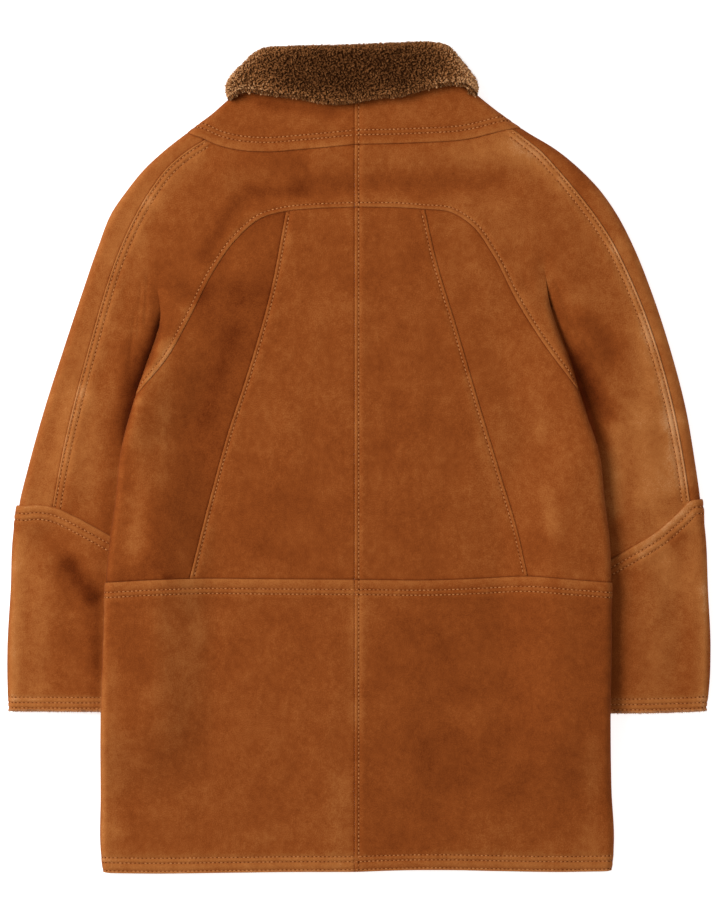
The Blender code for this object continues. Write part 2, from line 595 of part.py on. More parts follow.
class Side:
    """One half of the coat, with its folds, its seams and its pieces."""

    def __init__(self, coat, name):
        self.coat = coat
        self.name = name
        out = -1 if name == "L" else 1
        start_y = CREASE[name][CREASE_START][1]
        opening = crease_opening(start_y)
        self.outer = Fold(SLEEVE_OUTLINE[name], out)
        self.fore = Fold(FOREARM_OUTLINE[name], out)
        self.edge = Fold(CREASE[name] + BODY_EDGE[name], out, opening=opening)
        self.inner = Fold(CREASE[name] + SLEEVE_INNER[name], -out, opening=opening,
                          inset=SLIT_GAP)
        self.cut_seams()

    def rise(self, point):
        """Height of the body over the sleeve that lies under its side."""
        y = point[1]
        along = smooth((RISE_START_Y - y) / (RISE_START_Y - RISE_FULL_Y))
        along *= 1.0 - smooth((CUFF_END_Y - y) / CUFF_FADE)
        if along == 0.0:
            return 0.0
        beyond = self.inner.locate(point)[1] - ROLL - RISE_PAST
        return RISE * float(along * (1.0 - smooth(beyond / RISE_SLOPE)))

    def lap_from(self, line):
        """A lapped edge along a line, which sinks back into its panel."""
        line = np.array(line)
        return lambda point: LAP * float(1.0 - smooth(distance_to(line, point) / LAP_FADE))

    def cut_seams(self):
        name = self.name
        self.neckline = seam(NECKLINE[name], end=self.outer, square=True)
        self.front_neck = seam(FRONT_NECK[name], end=self.outer, square=True)
        self.neck_edge = seam(NECK_EDGE[name], end=self.outer)
        self.arch = seam(ARCH[name], end=self.edge)
        self.waist = seam(WAIST[name], end=self.edge)
        self.hem = seam(HEM[name], end=self.edge)
        self.elbow = seam(ELBOW[name], start=self.outer, end=self.inner, square=True)
        fore_elbow = seam(ELBOW[name], start=self.fore, end=self.inner, square=True)
        self.fore_elbow = fore_elbow[:ROWS + 1] + self.elbow[ROWS:]
        self.cuff = seam(CUFF[name], start=self.fore, end=self.inner)
        self.slant = list(spline(SLANT[name], STEP))

        self.top_of_shoulder = nearest(self.neck_edge, SHOULDER[name][0])
        self.shoulder = [self.outer.unroll(p) for p in spline(SHOULDER[name], STEP)]
        self.shoulder[0] = self.neck_edge[self.top_of_shoulder]

        self.t_neck = self.outer.locate(self.neckline[-1])[0]
        self.t_yoke = self.outer.locate(self.neck_edge[-1])[0]
        self.t_elbow = self.outer.locate(self.elbow[0])[0]
        self.t_arch = self.edge.locate(self.arch[-1])[0]
        self.t_waist = self.edge.locate(self.waist[-1])[0]
        self.t_hem = self.edge.locate(self.hem[-1])[0]

        # The line from the shoulder seam to the crease, across the one-piece upper back
        start = np.array(CREASE[name][CREASE_START])
        self.t_crease = self.edge.locate(start)[0]
        self.crease_point = self.edge.at(self.t_crease, 0.0)
        top = self.edge.locate(np.array(CREASE[name][0]))[0]
        self.edge.marks += [self.t_crease + d for d in CREASE_ROWS]
        self.inner_crease = self.inner.locate(self.crease_point)[0]
        self.inner.marks += [self.inner_crease + d for d in CREASE_ROWS]
        self.parting = self.edge.run(top + SEAM_GAP / 2, self.t_crease, 0.0)

        # The strip's seam underneath, and where the parting below meets it
        fine = self.edge.axis[self.edge.t <= self.t_crease]
        depth = np.array([self.outer.locate(p)[1] for p in fine])
        i = int(np.argmax(depth < -STRIP_UNDER))
        self.t_under = self.outer.locate(fine[i])[0]
        self.outer.marks.append(self.t_under)
        self.under_start = self.outer.at(self.t_under, -STRIP_UNDER)
        lower = self.edge.locate(fine[i])[0]
        self.under_parting = [self.under_start] + self.edge.run(lower + PARTING_START, self.t_crease, 0.0)
        under_end = self.outer.at(self.t_elbow, -STRIP_UNDER)
        beyond = [p for p in self.elbow[ROWS + 1:]
                  if self.outer.locate(p)[1] < -STRIP_UNDER - NEAR_AXIS]
        self.under_elbow = self.fore_elbow[:ROWS + 2] + [under_end] + beyond
        self.under_end = ROWS + 2

    def back(self):
        """The pieces that lie on top."""
        name, coat = self.name, self.coat
        outer, edge, inner, fore = self.outer, self.edge, self.inner, self.fore
        junction = self.top_of_shoulder
        body = Layer([edge], rise=self.rise, creased=True)

        outline = loop(self.neck_edge, outer.run(self.t_yoke, self.t_neck, outer.half_way),
                       self.neckline[::-1], centre(self.neckline[0][1], self.neck_edge[0][1]))
        lapped = Layer([outer], creased=True, lap=self.lap_from(self.neck_edge))
        coat.piece("neck_yoke_" + name, [(outline, lapped, [])])

        part = nearest(self.shoulder, CREASE[name][0])
        upper = loop(self.neck_edge[:junction + 1], self.shoulder[:part], self.parting,
                     edge.run(self.t_crease, self.t_arch, edge.half_way), self.arch[::-1],
                     centre(self.arch[0][1], self.neck_edge[0][1]))
        corner = nearest(self.elbow, SHOULDER[name][-1])
        sleeve = loop(self.shoulder[part + 1:], self.elbow[corner:],
                      inner.run(inner.locate(self.elbow[-1])[0], self.inner_crease,
                                inner.half_way),
                      self.parting[::-1])
        coat.piece("upper_back_" + name,
                   [(upper, Layer([edge, outer], rise=self.rise, creased=True), self.parting),
                    (sleeve, Layer([inner, outer], creased=True), self.parting)])

        corner = nearest(self.arch, SLANT[name][0])
        foot = nearest(self.waist, SLANT[name][-1])
        outline = loop(self.arch[:corner + 1], self.slant, self.waist[foot::-1],
                       centre(self.waist[0][1], self.arch[0][1]))
        coat.piece("centre_back_" + name, [(outline, body, [])])
        outline = loop(self.arch[corner:], edge.run(self.t_arch, self.t_waist, edge.half_way),
                       self.waist[:foot - 1:-1], self.slant[::-1])
        coat.piece("side_back_" + name, [(outline, body, [])])

        outline = loop(self.waist, edge.run(self.t_waist, self.t_hem, edge.half_way),
                       self.hem[::-1], centre(self.hem[0][1], self.waist[0][1]))
        lapped = Layer([edge], rise=self.rise, creased=True, lap=self.lap_from(self.waist))
        coat.piece("skirt_back_" + name, [(outline, lapped, [])])

        under = math.pi * ROLL + STRIP_UNDER
        outline = loop(self.neck_edge[junction:], outer.turn(self.t_yoke, 90, 180),
                       outer.run(self.t_yoke, self.t_elbow, under),
                       outer.turn(self.t_elbow, 180, 90),
                       self.elbow[:nearest(self.elbow, SHOULDER[name][-1]) + 1],
                       self.shoulder[::-1])
        coat.piece("sleeve_strip_" + name, [(outline, Layer([outer], creased=True), [])],
                   "suede_strip")

        t_top, t_end = fore.locate(self.fore_elbow[0])[0], fore.locate(self.cuff[0])[0]
        i_top = inner.locate(self.fore_elbow[-1])[0]
        i_end = inner.locate(self.cuff[-1])[0]
        outline = loop(self.fore_elbow, inner.run(i_top, i_end, inner.half_way),
                       self.cuff[::-1], fore.run(t_end, t_top, fore.half_way))
        lapped = Layer([fore, inner], creased=True, lap=self.lap_from(self.fore_elbow))
        coat.piece("forearm_back_" + name, [(outline, lapped, [])])
        outline = loop(self.under_elbow, inner.run(i_top, i_end, inner.half_way),
                       self.cuff[::-1], fore.run(t_end, t_top, fore.half_way))
        coat.piece("forearm_under_" + name, [(outline, Layer([fore, inner], up=False), [])],
                   coarse=True)

    def front(self):
        """The plain pieces that lie on the floor."""
        name, coat = self.name, self.coat
        outer, edge, inner = self.outer, self.edge, self.inner
        strip_seam = outer.run(self.t_yoke, self.t_under, -STRIP_UNDER)
        outline = loop(centre(self.hem[0][1], self.front_neck[0][1], 2 * STEP),
                       self.front_neck,
                       outer.run(outer.locate(self.front_neck[-1])[0], self.t_yoke,
                                 outer.half_way),
                       outer.turn(self.t_yoke, 90, 0), strip_seam, self.under_parting,
                       edge.run(self.t_crease, self.t_hem, edge.half_way), self.hem[::-1])
        coat.piece("front_" + name, [(outline, Layer([edge, outer], up=False, rise=self.rise),
                                      [])], coarse=True)
        outline = loop(outer.run(self.t_under, self.t_elbow, -STRIP_UNDER),
                       self.under_elbow[self.under_end:],
                       inner.run(inner.locate(self.under_elbow[-1])[0], self.inner_crease,
                                 inner.half_way),
                       self.under_parting[::-1])
        coat.piece("sleeve_under_" + name, [(outline, Layer([inner], up=False), [])],
                   coarse=True)


def build_collar(coat, sides):
    """The fur collar: its fall and fold on top, its stand under that, its fronts below."""
    fold = Fold(COLLAR_OUTLINE, 1, COLLAR_ROLL, step=COLLAR_STEP)
    ends = {name: fold.locate(np.array(STAND_START[name]))[0] for name in "LR"}
    fold.marks += ends.values()
    edge = seam(FALL_EDGE, start=fold, end=fold)
    left, right = fold.locate(edge[0])[0], fold.locate(edge[-1])[0]
    outline = loop(edge, fold.turn(right, 90, COLLAR_TURN),
                   fold.run(right, left, math.radians(COLLAR_TURN) * COLLAR_ROLL),
                   fold.turn(left, COLLAR_TURN, 90))
    fall = Layer([fold], base=COLLAR_BASE, stack=COLLAR_STACK, wall=COLLAR_WALL)
    coat.piece("collar_fall", [(outline, fall, [])], "fur")

    flat = {name: [p for p in sides[name].neckline if sides[name].outer.locate(p)[1] < 0.1]
            for name in "LR"}
    outline = loop(fold.run(ends["L"], ends["R"], 0.0), flat["R"][::-1], flat["L"])
    stand = Layer(up=False, base=COLLAR_BASE, wall=COLLAR_WALL)
    coat.piece("collar_stand", [(outline, stand, [])], "fur")

    low_fold = Fold(COLLAR_OUTLINE, 1, step=COLLAR_STEP)
    middle = low_fold.locate(np.array((CENTRE_X, 460.0)))[0]
    low_fold.marks.append(middle)
    for name in "LR":
        start = low_fold.locate(np.array(COLLAR_FRONT_START[name]))[0]
        neck = [p for p in sides[name].front_neck if sides[name].outer.locate(p)[1] < 0.1]
        outline = loop(low_fold.turn(start, 0, 90),
                       low_fold.run(start, middle, low_fold.half_way),
                       low_fold.turn(middle, 90, 0), neck, [COLLAR_CORNER[name]])
        front = Layer([low_fold], up=False, wall=COLLAR_FRONT_WALL)
        coat.piece("collar_front_" + name, [(outline, front, [])], "fur", coarse=True)


def main():
    for thing in list(bpy.data.objects):
        bpy.data.objects.remove(thing, do_unlink=True)
    coat = Coat()
    sides = {name: Side(coat, name) for name in "LR"}
    for side in sides.values():
        side.back()
        side.front()
    build_collar(coat, sides)


main()
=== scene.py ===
"""Looks of a shearling coat, laid flat on its front with its back up.

Every table and size is in millimetres on the flat cloth, and each mesh is scaled to metres when
it is made. Most are those of the part's source. The seams, the ends of the collar's fall, the
right hem and the fold beside the armpit's crease are a little different here. A piece of cloth
is cut flat, gets its relief there (laps, rows of stitches, creases), and is then laid over the
layer below it and round its folds.
"""
import math
from collections import namedtuple

import bpy
import numpy as np
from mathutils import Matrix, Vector, kdtree
from mathutils.geometry import delaunay_2d_cdt


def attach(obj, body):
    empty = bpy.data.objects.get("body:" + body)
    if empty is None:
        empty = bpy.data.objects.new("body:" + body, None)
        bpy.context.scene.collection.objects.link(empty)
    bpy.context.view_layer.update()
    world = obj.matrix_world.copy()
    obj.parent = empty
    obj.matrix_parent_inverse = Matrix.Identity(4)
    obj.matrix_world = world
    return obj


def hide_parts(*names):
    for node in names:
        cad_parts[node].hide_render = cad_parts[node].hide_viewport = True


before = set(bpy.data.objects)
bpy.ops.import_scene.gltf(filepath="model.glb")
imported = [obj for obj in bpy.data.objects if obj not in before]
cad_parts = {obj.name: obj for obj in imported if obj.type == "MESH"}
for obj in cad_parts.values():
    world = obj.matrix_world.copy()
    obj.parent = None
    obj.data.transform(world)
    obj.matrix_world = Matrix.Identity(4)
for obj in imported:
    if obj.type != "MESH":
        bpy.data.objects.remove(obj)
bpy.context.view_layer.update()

MM = 0.001
rng = np.random.default_rng(7)

# Cloth
WALL = 8.0
STACK = 18.0               # two walls and the space between them
ROLL = STACK / 2
SEAM_GAP = 0.03
LEATHER = 1.5              # thickness of the skin itself
STRIP_UNDER = 15.0         # the strip at the sleeve's outer edge goes on this far underneath
TUCK = 7.0                 # the sleeve goes on this far under the forearm
CENTRE_X = -4.4

# Body over the sleeves
RISE = STACK + 3.1         # height of the body's side there
RISE_START_Y = 190.0       # it rises from here
RISE_FULL_Y = 45.0         # down to here,
CUFF_END_Y = -288.0        # and sinks again from here on
CUFF_FADE = 95.0
RISE_PAST = 3.0            # it also sinks from this far past the sleeve's fold
RISE_SLOPE = 76.0          # over this width

# Collar
COLLAR_BASE = 9.0
COLLAR_STACK = 22.0
COLLAR_ROLL = COLLAR_STACK / 2
COLLAR_WALL = 10.5
COLLAR_FRONT_WALL = 8.5
COLLAR_TURN = 172          # degrees that the collar's fall turns round its roll

# Creases
CREASE_START = 2           # which point of CREASE the folds beside it start at
CREASE_OPENING = 52.0      # length over which they open
CREASE_EASE = 1.6          # how slowly, at first
CREASE_END = 22.0          # creases fade over this width before a fold
WRINKLE_END = 5.0
RIPPLE = 0.35              # height of the cloth's uneven swelling

# Mesh
STEP = 5.0                 # spacing of points on an outline and of the grid
FOLD_STEP = 5.0
FOLD_ROWS = 7              # rows of points in a quarter turn
PILE_STEP = 22.0           # spacing on the pile side
PILE_FOLD_STEP = 0.7 * PILE_STEP
PILE_FOLD_ROWS = 3
WRINKLE_STEP = 3.5
RIM_STEP = 2.0             # spacing along a fold
FINE = 0.5                 # spacing along a line that has to meet a fold
NEAR_AXIS = 1.0            # a seam's points keep this far from a fold's axis
NEAR_GIVEN = 0.5           # or this far where the tables give the point
REFINE = 2                 # rounds in which a place beside a fold is found
END_PULL = 0.12            # a row of stitches starts this share of a step inside
SHARPEST = 0.35            # keeps an outline's sharp corners from moving far inwards
CHUNK = 3000               # points measured at a time
PARTING_START = 6.0        # the sleeve's underside parts from the body's this far down
SAME = 0.05                # points of an outline that are closer than this are one
ON_AXIS = 0.1
KEPT_OFF = 0.35            # share of a step that points keep from a fixed one
BESIDE_SHARE = 0.97        # a line beside another stays at this share of its distance,
BESIDE_LESS = 0.02         # less this
LINE_GAP = 4 * STEP        # points of a line that are this far apart have a gap between them

# Outlines, as x, y. L and R are the left and right of the coat as it lies.
SLEEVE_OUTLINE = {
    "L": [(-117.3, 416.5), (-128, 404.5), (-143.3, 394.6), (-158.9, 381), (-188.4, 358.4),
          (-215.2, 337.3), (-238.3, 315.5), (-255.8, 293.6), (-271.6, 270.8), (-287.5, 231.3),
          (-303.8, 184), (-325.7, 117.9), (-346.7, 52), (-364.3, -11.2), (-374.2, -52.3),
          (-378.5, -96.3)],
    "R": [(108.8, 418.2), (120, 408.8), (131.6, 399), (152.8, 382), (182.7, 360.8), (219.5, 338.2),
          (245.8, 316.2), (266.6, 294.2), (283.6, 270.1), (305.1, 228.3), (322.5, 184.3),
          (344.1, 118.3), (361.2, 52.3), (371, -5), (377, -46.8), (382.3, -96.3)],
}
FOREARM_OUTLINE = {
    "L": [(-374, -24.8), (-375.8, -55.6), (-380.5, -82), (-383.6, -145.8), (-387.2, -211.8),
          (-387.2, -244.8), (-385.6, -278.9), (-383.4, -310.8)],
    "R": [(376, -19.2), (378.4, -52.3), (382.4, -82), (385.4, -145.8), (388.2, -211.8),
          (386.9, -250.3), (383.3, -278.9), (380, -310.8)],
}
# From the shoulder seam down the armpit crease, which parts the sleeve from the body
CREASE = {
    "L": [(-230.5, 292.1), (-225, 239.3), (-221.7, 186.5), (-218, 160.1), (-220.6, 138.1),
          (-231, 107.3), (-242.6, 74.2), (-252.5, 41.2)],
    "R": [(217.3, 319.6), (206.3, 259.1), (204.6, 208.5), (210.1, 173.2), (219.5, 140.2),
          (231.6, 107.3), (241.5, 74.2), (252.5, 41.2)],
}
BODY_EDGE = {              # from the crease to the hem
    "L": [(-260.7, 8.2), (-266.8, -46.8), (-273.7, -96.3), (-277.2, -137), (-280.5, -200.8),
          (-283.2, -299.8), (-284.4, -376.8), (-284.4, -431.8), (-281.6, -457.1),
          (-276.7, -486.8)],
    "R": [(263.5, 8.2), (270.1, -46.8), (276.1, -96.3), (277.2, -137), (277.8, -200.8),
          (276.7, -299.8), (278.9, -365.8), (281.6, -426.3), (278.9, -457.1), (273.4, -486.8)],
}
SLEEVE_INNER = {           # the sleeve's fold under the body
    "L": [(-255.8, 19.2), (-242.6, -24.8), (-232.7, -63.3), (-229.4, -112.8), (-231.6, -178.8),
          (-236, -278.9), (-239.3, -376.8), (-241.5, -486.8)],
    "R": [(255.8, 19.2), (243.7, -24.8), (231.6, -63.3), (228.3, -112.8), (230.5, -178.8),
          (234.9, -278.9), (238.2, -376.8), (240.4, -486.8)],
}

# Seams, from the centre or from the top
NECK_EDGE = {
    "L": [(CENTRE_X, 344.3), (-62.2, 338.8), (-104, 336.1), (-135.9, 338.8), (-161.2, 346),
          (-168.9, 349.8), (-185.4, 356.4), (-189.5, 358.6)],
    "R": [(CENTRE_X, 344.3), (60, 346), (121.6, 350.4), (157.9, 359.2), (168, 361.4),
          (178.8, 363)],
}
SHOULDER = {
    "L": [(-168.9, 349.8), (-187.6, 338.2), (-209.6, 319.6), (-230.5, 292.1), (-251.4, 254.7),
          (-263.5, 227.2), (-280, 179.9), (-293.2, 133.7), (-310.8, 68.8), (-326.2, 2.8),
          (-336.6, -54.5)],
    "R": [(170, 361.4), (184.3, 350.4), (200.8, 337.2), (217.3, 319.6), (238.2, 295.4),
          (258, 270.1), (276.7, 242.6), (293.2, 210.7), (307.5, 178.8), (329.5, 118.3),
          (346, 57.8), (357, 2.8), (364.7, -47.9)],
}
ARCH = {
    "L": [(CENTRE_X, 275.6), (-51.2, 273.7), (-79.8, 270.8), (-106.2, 263.5), (-134.8, 239.3),
          (-159, 205.2), (-186.5, 151.2), (-211.8, 106.2), (-236, 77.5), (-244, 69)],
    "R": [(CENTRE_X, 275.6), (45.7, 275), (73.2, 273), (100.7, 270.1), (122.7, 256.9),
          (148, 222.8), (172.2, 175.5), (195.3, 137), (217.3, 105.1), (243.7, 71)],
}
SLANT = {
    "L": [(-79.8, 270.8), (-97.4, 179.9), (-122.7, 90.8), (-143.6, 27), (-163.4, -44.6),
          (-185.4, -133.1)],
    "R": [(73.2, 273), (85.2, 219.5), (108.4, 142.5), (130.4, 67.7), (156.8, -19.2),
          (174.4, -78.7), (185.9, -130.4)],
}
WAIST = {
    "L": [(CENTRE_X, -134.2), (-97.4, -133.7), (-185.4, -133.1), (-226.1, -134.2), (-278.5, -137)],
    "R": [(CENTRE_X, -134.2), (84.2, -134.8), (141.4, -132.6), (185.9, -130.4), (234.9, -133.7),
          (278, -137)],
}
ELBOW = {
    "L": [(-380, -56.2), (-354.8, -52.3), (-336.6, -54.5), (-311.9, -64.9), (-294.2, -74.2),
          (-272.2, -86.4), (-228, -109)],
    "R": [(382, -45.4), (364.7, -47.9), (351.5, -61.1), (326.2, -83.1), (300.9, -98.5),
          (277.8, -111.7), (226, -136)],
}
CUFF = {
    "L": [(-390, -279.4), (-306.4, -279.9), (-234, -280.3)],
    "R": [(388, -279), (362, -280.2), (310, -281.6), (233, -281.3)],
}
HEM = {
    "L": [(CENTRE_X, -456.2), (-70, -456.3), (-150, -457.2), (-220, -458), (-284, -457.4)],
    "R": [(CENTRE_X, -456.2), (50, -454.4), (100, -454.2), (150, -455.2), (215, -456.2),
          (282, -455.4)],
}
NECKLINE = {               # under the collar
    "L": [(CENTRE_X, 416.4), (-64.4, 415.3), (-96, 413), (-112.8, 412), (-119.4, 418.6)],
    "R": [(CENTRE_X, 416.4), (55, 415.3), (88, 414), (104.4, 413.4), (111.8, 421.6)],
}
FRONT_NECK = {
    "L": [(CENTRE_X, 336), (-40, 341), (-80, 362), (-106, 392), (-112.8, 412), (-119.4, 418.6)],
    "R": [(CENTRE_X, 336), (30, 341), (70, 362), (97, 393), (104.4, 413.4), (111.8, 421.6)],
}
COLLAR_OUTLINE = [(-140.2, 390), (-145.8, 398.8), (-146.3, 406.5), (-141.4, 419.7),
                  (-128.2, 432.9), (-117.2, 443.9), (-106.2, 450.1), (-80.9, 452.5),
                  (-14.9, 454.2), (45.7, 456.6), (80.9, 457.2), (97.3, 453.9), (111.3, 441.6),
                  (124.5, 424.9), (131.6, 411.1), (131.4, 401), (126.4, 392.2)]
FALL_EDGE = [(-149, 390.6), (-142.5, 393.2), (-135, 397.8), (-127, 401.4), (-117.2, 401),
             (-91.9, 397.1), (-62.2, 393.8), (-40.2, 389.4), (-18.2, 388.3), (1.7, 391.1),
             (23.7, 394.9), (47.9, 397.1), (69.9, 403.7), (91.9, 408.1), (109.5, 409),
             (118.5, 406.8), (126, 400.4), (134, 394)]
COLLAR_FRONT_START = {"L": (-136, 425), "R": (121, 426.5)}
COLLAR_CORNER = {"L": (-116.5, 421.5), "R": (106, 423.2)}
STAND_START = {"L": (-128, 433), "R": (113, 436.5)}

# Soft marks, each along a line from x0, y0 to x1, y1. For creases: half width and height
CREASES = [
    (-125, 294, 160, 297, 19, -3), (-140, 322, 172, 338, 17, 2.2),
    (-338, -88, -282, -152, 19, -3.4), (-345, -120, -340, -200, 20, 1.6),
    (-312, 55, -318, -30, 20, 2.2), (320, 60, 328, -40, 20, 2.2), (272, 140, 281, 96, 18, -2.6),
    (356, -120, 350, -240, 18, -1.8), (-27, -210, -30, -430, 26, 1.4),
    (92, -250, 100, -370, 30, -1.6),
]

WRINKLES = [
    (172, 186, 196, 170, 6, 0.9), (282, -69, 318, -76, 6, 0.8), (286, -82, 312, -86, 5, -0.7),
    (-119, -112, -75, -124, 8, 0.8), (-232, 198, -235, 150, 2.2, -0.9),
    (-239, 188, -243, 134, 2.2, -0.9), (-246, 160, -252, 100, 2.2, -0.8),
    (215, 198, 234, 146, 2.2, -0.9), (220, 190, 243, 134, 2.2, -1),
    (227, 182, 252, 122, 2.2, -0.9), (237, 170, 261, 108, 2.4, -0.7), (230, 150, 262, 130, 5, -1),
]

# The crease's groove, from above its start and down, and its share of painted shade on the
# body and on the sleeve
CREASE_ABOVE = 34.0
CREASE_COMES = 44.0
CREASE_GOES = 55.0
CREASE_SHADE = (0.3, 0.5)
CREASE_WIDTH = 6.5
CREASE_DEPTH = 2.6
# The sleeve sinks where the body lies on it: depth and width, less below a height
ARMPIT = {"L": (5.0, 14.0), "R": (6.0, 17.0)}
# painted shadow on the sleeve beside the body that lies on it
ARMPIT_SHADE = 1.7
ARMPIT_START = 2.0
ARMPIT_COMES = 45.0
ARMPIT_LOW_Y = 75.0
ARMPIT_GOES = 90.0
ARMPIT_LOST = 0.75
SINK_LOST = 0.6            # the pile side sinks this share less than the skin
NARROW = 3.0               # a wrinkle this narrow needs points of its own
UNDER_CREASES = [
    (-150, 210, -60, 170, 16, -1.6), (60, 120, 150, 60, 18, -1.8), (-200, -60, -90, -90, 15, -1.2),
    (90, -200, 180, -290, 20, -1.6), (-160, -260, -120, -390, 22, -1.4),
    (-330, -80, -290, -150, 15, -2), (345, -90, 300, -160, 15, -1.8),
    (-340, 90, -300, 40, 14, -1.4), (300, 120, 340, 60, 14, -1.5),
]
# Paler and darker places: half width and amount. Some are the suede's own uneven tone; most are
# painted light and shade: the shadow below the collar, shade in the armpits and on the sleeves
# beside the body, and lit or shaded rims and slopes
PAINTED_LIGHT_AND_TONE = [
    (-185, 329, -229, 283, 13.2, 0.11), (-229, 283, -265, 215, 13.2, 0.10),
    (-271, 184, -302, 74, 11, 0.11), (-306, 69, -322, -14, 13.2, 0.16),
    (172, 347, 222, 303, 13.2, 0.11), (222, 303, 279, 234, 13.2, 0.08),
    (285, 228, 321, 140, 13.2, 0.15), (326, 129, 345, 41, 15.4, 0.19),
    (345, 41, 358, -25, 14.3, 0.22), (310, 41, 332, -69, 17.6, 0.14),
    (255, 294, 321, 173, 8.8, 0.08), (-210, 118, -240, 63, 9.9, 0.13),
    (-243, 63, -260, -14, 9.9, 0.13), (-262, -25, -270, -124, 8.8, 0.10),
    (-191, -107, -174, -201, 9.9, 0.10), (-280, -157, -281, -443, 4.4, 0.14),
    (-2, 250, -2, -113, 4.4, 0.06), (-2, -146, -2, -289, 7.7, 0.10),
    (332, -113, 337, -256, 33, 0.10), (365, -52, 310, -104, 8.8, 0.15),
    (-375, -91, -379, -267, 7.7, 0.14), (-372, -267, -290, -267, 5.5, 0.05),
    (-119, 377, 156, 380, 15.4, 0.04), (-130, 346, -20, 342, 4.4, 0.05),
    (205, -36, 211, -74, 8.8, 0.10), (161, 344, 189, 338, 11, 0.08),
    (-158, 329, -64, 327, 11, -0.12), (-119, 292, -64, 294, 8.8, -0.16),
    (-64, 301, 156, 303, 13.2, -0.12), (-136, 278, -169, 223, 11, -0.18),
    (-218, 201, -174, 173, 15.4, -0.10), (-229, 173, -202, 151, 11, -0.08),
    (255, 151, 279, 118, 15.4, -0.16), (244, 107, 271, 52, 11, -0.20),
    (-320, -118, -293, -151, 9.9, -0.24), (-293, -157, -287, -234, 9.9, -0.12),
    (-328, -201, -295, -223, 15.4, -0.07), (-136, 140, -169, 41, 12.1, -0.12),
    (29, 107, 40, 63, 13.2, -0.05), (189, -96, 255, -113, 13.2, -0.07),
    (-108, -100, -64, -107, 13.2, -0.07), (-268, -201, -235, -234, 15.4, -0.10),
    (90, -212, 112, -256, 15.4, -0.06), (79, -338, 101, -349, 13.2, -0.05),
    (-212, -131, -207, -131, 2.4, -0.16), (-215, 118, -215, -25, 14.3, 0.14),
    (-251, -47, -251, -113, 12.1, 0.14), (205, 206, 210, 168, 7.7, 0.08),
    (378, -146, 376, -267, 7.7, 0.12), (134, -410, 266, -432, 33, 0.09),
    (-119, -291, 123, -291, 24.2, 0.07), (-281, -410, -271, -410, 12.1, 0.08),
    (-365, -69, -365, -157, 8.8, 0.06), (-254, 124, -254, -69, 8.8, -0.08),
    (296, -52, 365, -102, 15.4, -0.06), (-185, 171, -106, 182, 15.4, -0.09),
    (-64, 162, 68, 162, 17.6, 0.04), (310, 151, 315, 52, 11, 0.09), (283, 30, 284, -58, 9.9, 0.15),
    (222, 168, 266, 173, 15.4, 0.07), (367, -74, 370, -140, 13.2, 0.15),
    (337, -107, 340, -137, 13.2, 0.10), (310, -45, 310, -69, 13.2, 0.09),
    (-293, 63, -295, -47, 12.1, 0.10), (-240, 30, -240, -96, 12.1, 0.12),
    (-350, -135, -353, -256, 11, 0.08), (-324, -129, -320, -157, 12.1, -0.09),
    (-215, 146, -229, 107, 8.8, -0.12), (-185, 164, -157, 173, 12.1, 0.10),
    (-174, 329, -125, 333, 12.1, 0.09), (112, 336, 222, 329, 12.1, 0.10),
    (-270, -201, -270, -437, 9.9, 0.09), (-213, -168, -185, -256, 19.8, 0.07),
    (7, -162, 7, -234, 13.2, 0.07), (-20, -355, -18, -432, 15.4, 0.07),
    (257, -322, 257, -421, 12.1, 0.09), (-273, -441, 266, -441, 9.9, 0.05),
    (-103, -294, 106, -305, 22, -0.05), (120, 85, 152, -52, 8.8, 0.07),
    (244, 94, 259, 58, 6.6, -0.08), (-106, 390, -31, 380, 6.6, -0.14),
    (-240, 256, -240, 215, 9.9, 0.07), (-185, 142, -185, 109, 8.8, 0.09),
    (-270, 87, -270, 52, 6.6, 0.08), (-130, 228, -130, 215, 9.9, 0.07),
    (-100, 278, -75, 256, 11, -0.07), (222, 146, 235, 129, 9.9, 0.07),
    (200, 63, 200, 25, 9.9, 0.08), (339, 8, 340, -30, 9.9, 0.09), (35, -162, 62, -166, 13.2, 0.06),
    (227, -162, 229, -173, 13.2, 0.07), (-119, -413, -31, -413, 13.2, 0.05),
    (257, -344, 257, -377, 9.9, 0.05), (-119, -47, 62, -60, 24.2, -0.04),
    (200, -80, 202, -84, 9.9, -0.06), (-125, -272, -122, -276, 13.2, -0.06),
    (382, -113, 381, -272, 4.4, 0.16), (-381, -113, -381, -267, 4.4, 0.06),
    (-337, -91, -315, -115, 9.9, -0.07), (-210, 69, -210, 52, 9.9, 0.06),
    (-361, -52, -324, -47, 8.8, 0.05), (339, 85, 342, 63, 9.9, 0.06),
    (337, -104, 337, -111, 8.8, 0.05), (-229, 278, -211, 267, 9.9, 0.06),
    (266, 295, 311, 216, 5.5, 0.13), (311, 216, 347, 106, 5.5, 0.13),
    (347, 106, 375, -25, 5.5, 0.11), (-233, 325, -281, 252, 5.5, 0.07),
    (-281, 252, -311, 171, 5.5, 0.05), (-342, 74, -366, -5, 5.5, 0.06),
    (-284, -283, -284, -432, 4.4, 0.08), (280, -289, 282, -432, 4.4, 0.06),
    (-262, 8, -276, -96, 6.6, -0.05), (258, 153, 266, 151, 9.9, 0.06),
    (-222, 140, -246, 74, 7, -0.09),
]
# Each piece's tone: partly its leather's own shade, partly painted light and shade where the whole
# piece slopes towards or away from the light (the side backs, the sleeve strips)
PIECE_TONE_AND_LIGHT = {
    "neck_yoke_L": 0.0, "neck_yoke_R": 0.0, "upper_back_L": 0.01, "upper_back_R": 0.05,
    "centre_back_L": 0.0, "centre_back_R": -0.02, "side_back_L": -0.10, "side_back_R": 0.02,
    "skirt_back_L": 0.0, "skirt_back_R": -0.07, "forearm_back_L": 0.03, "forearm_back_R": 0.0,
    "sleeve_strip_L": 0.10, "sleeve_strip_R": -0.05, "forearm_under_L": 0.03,
}


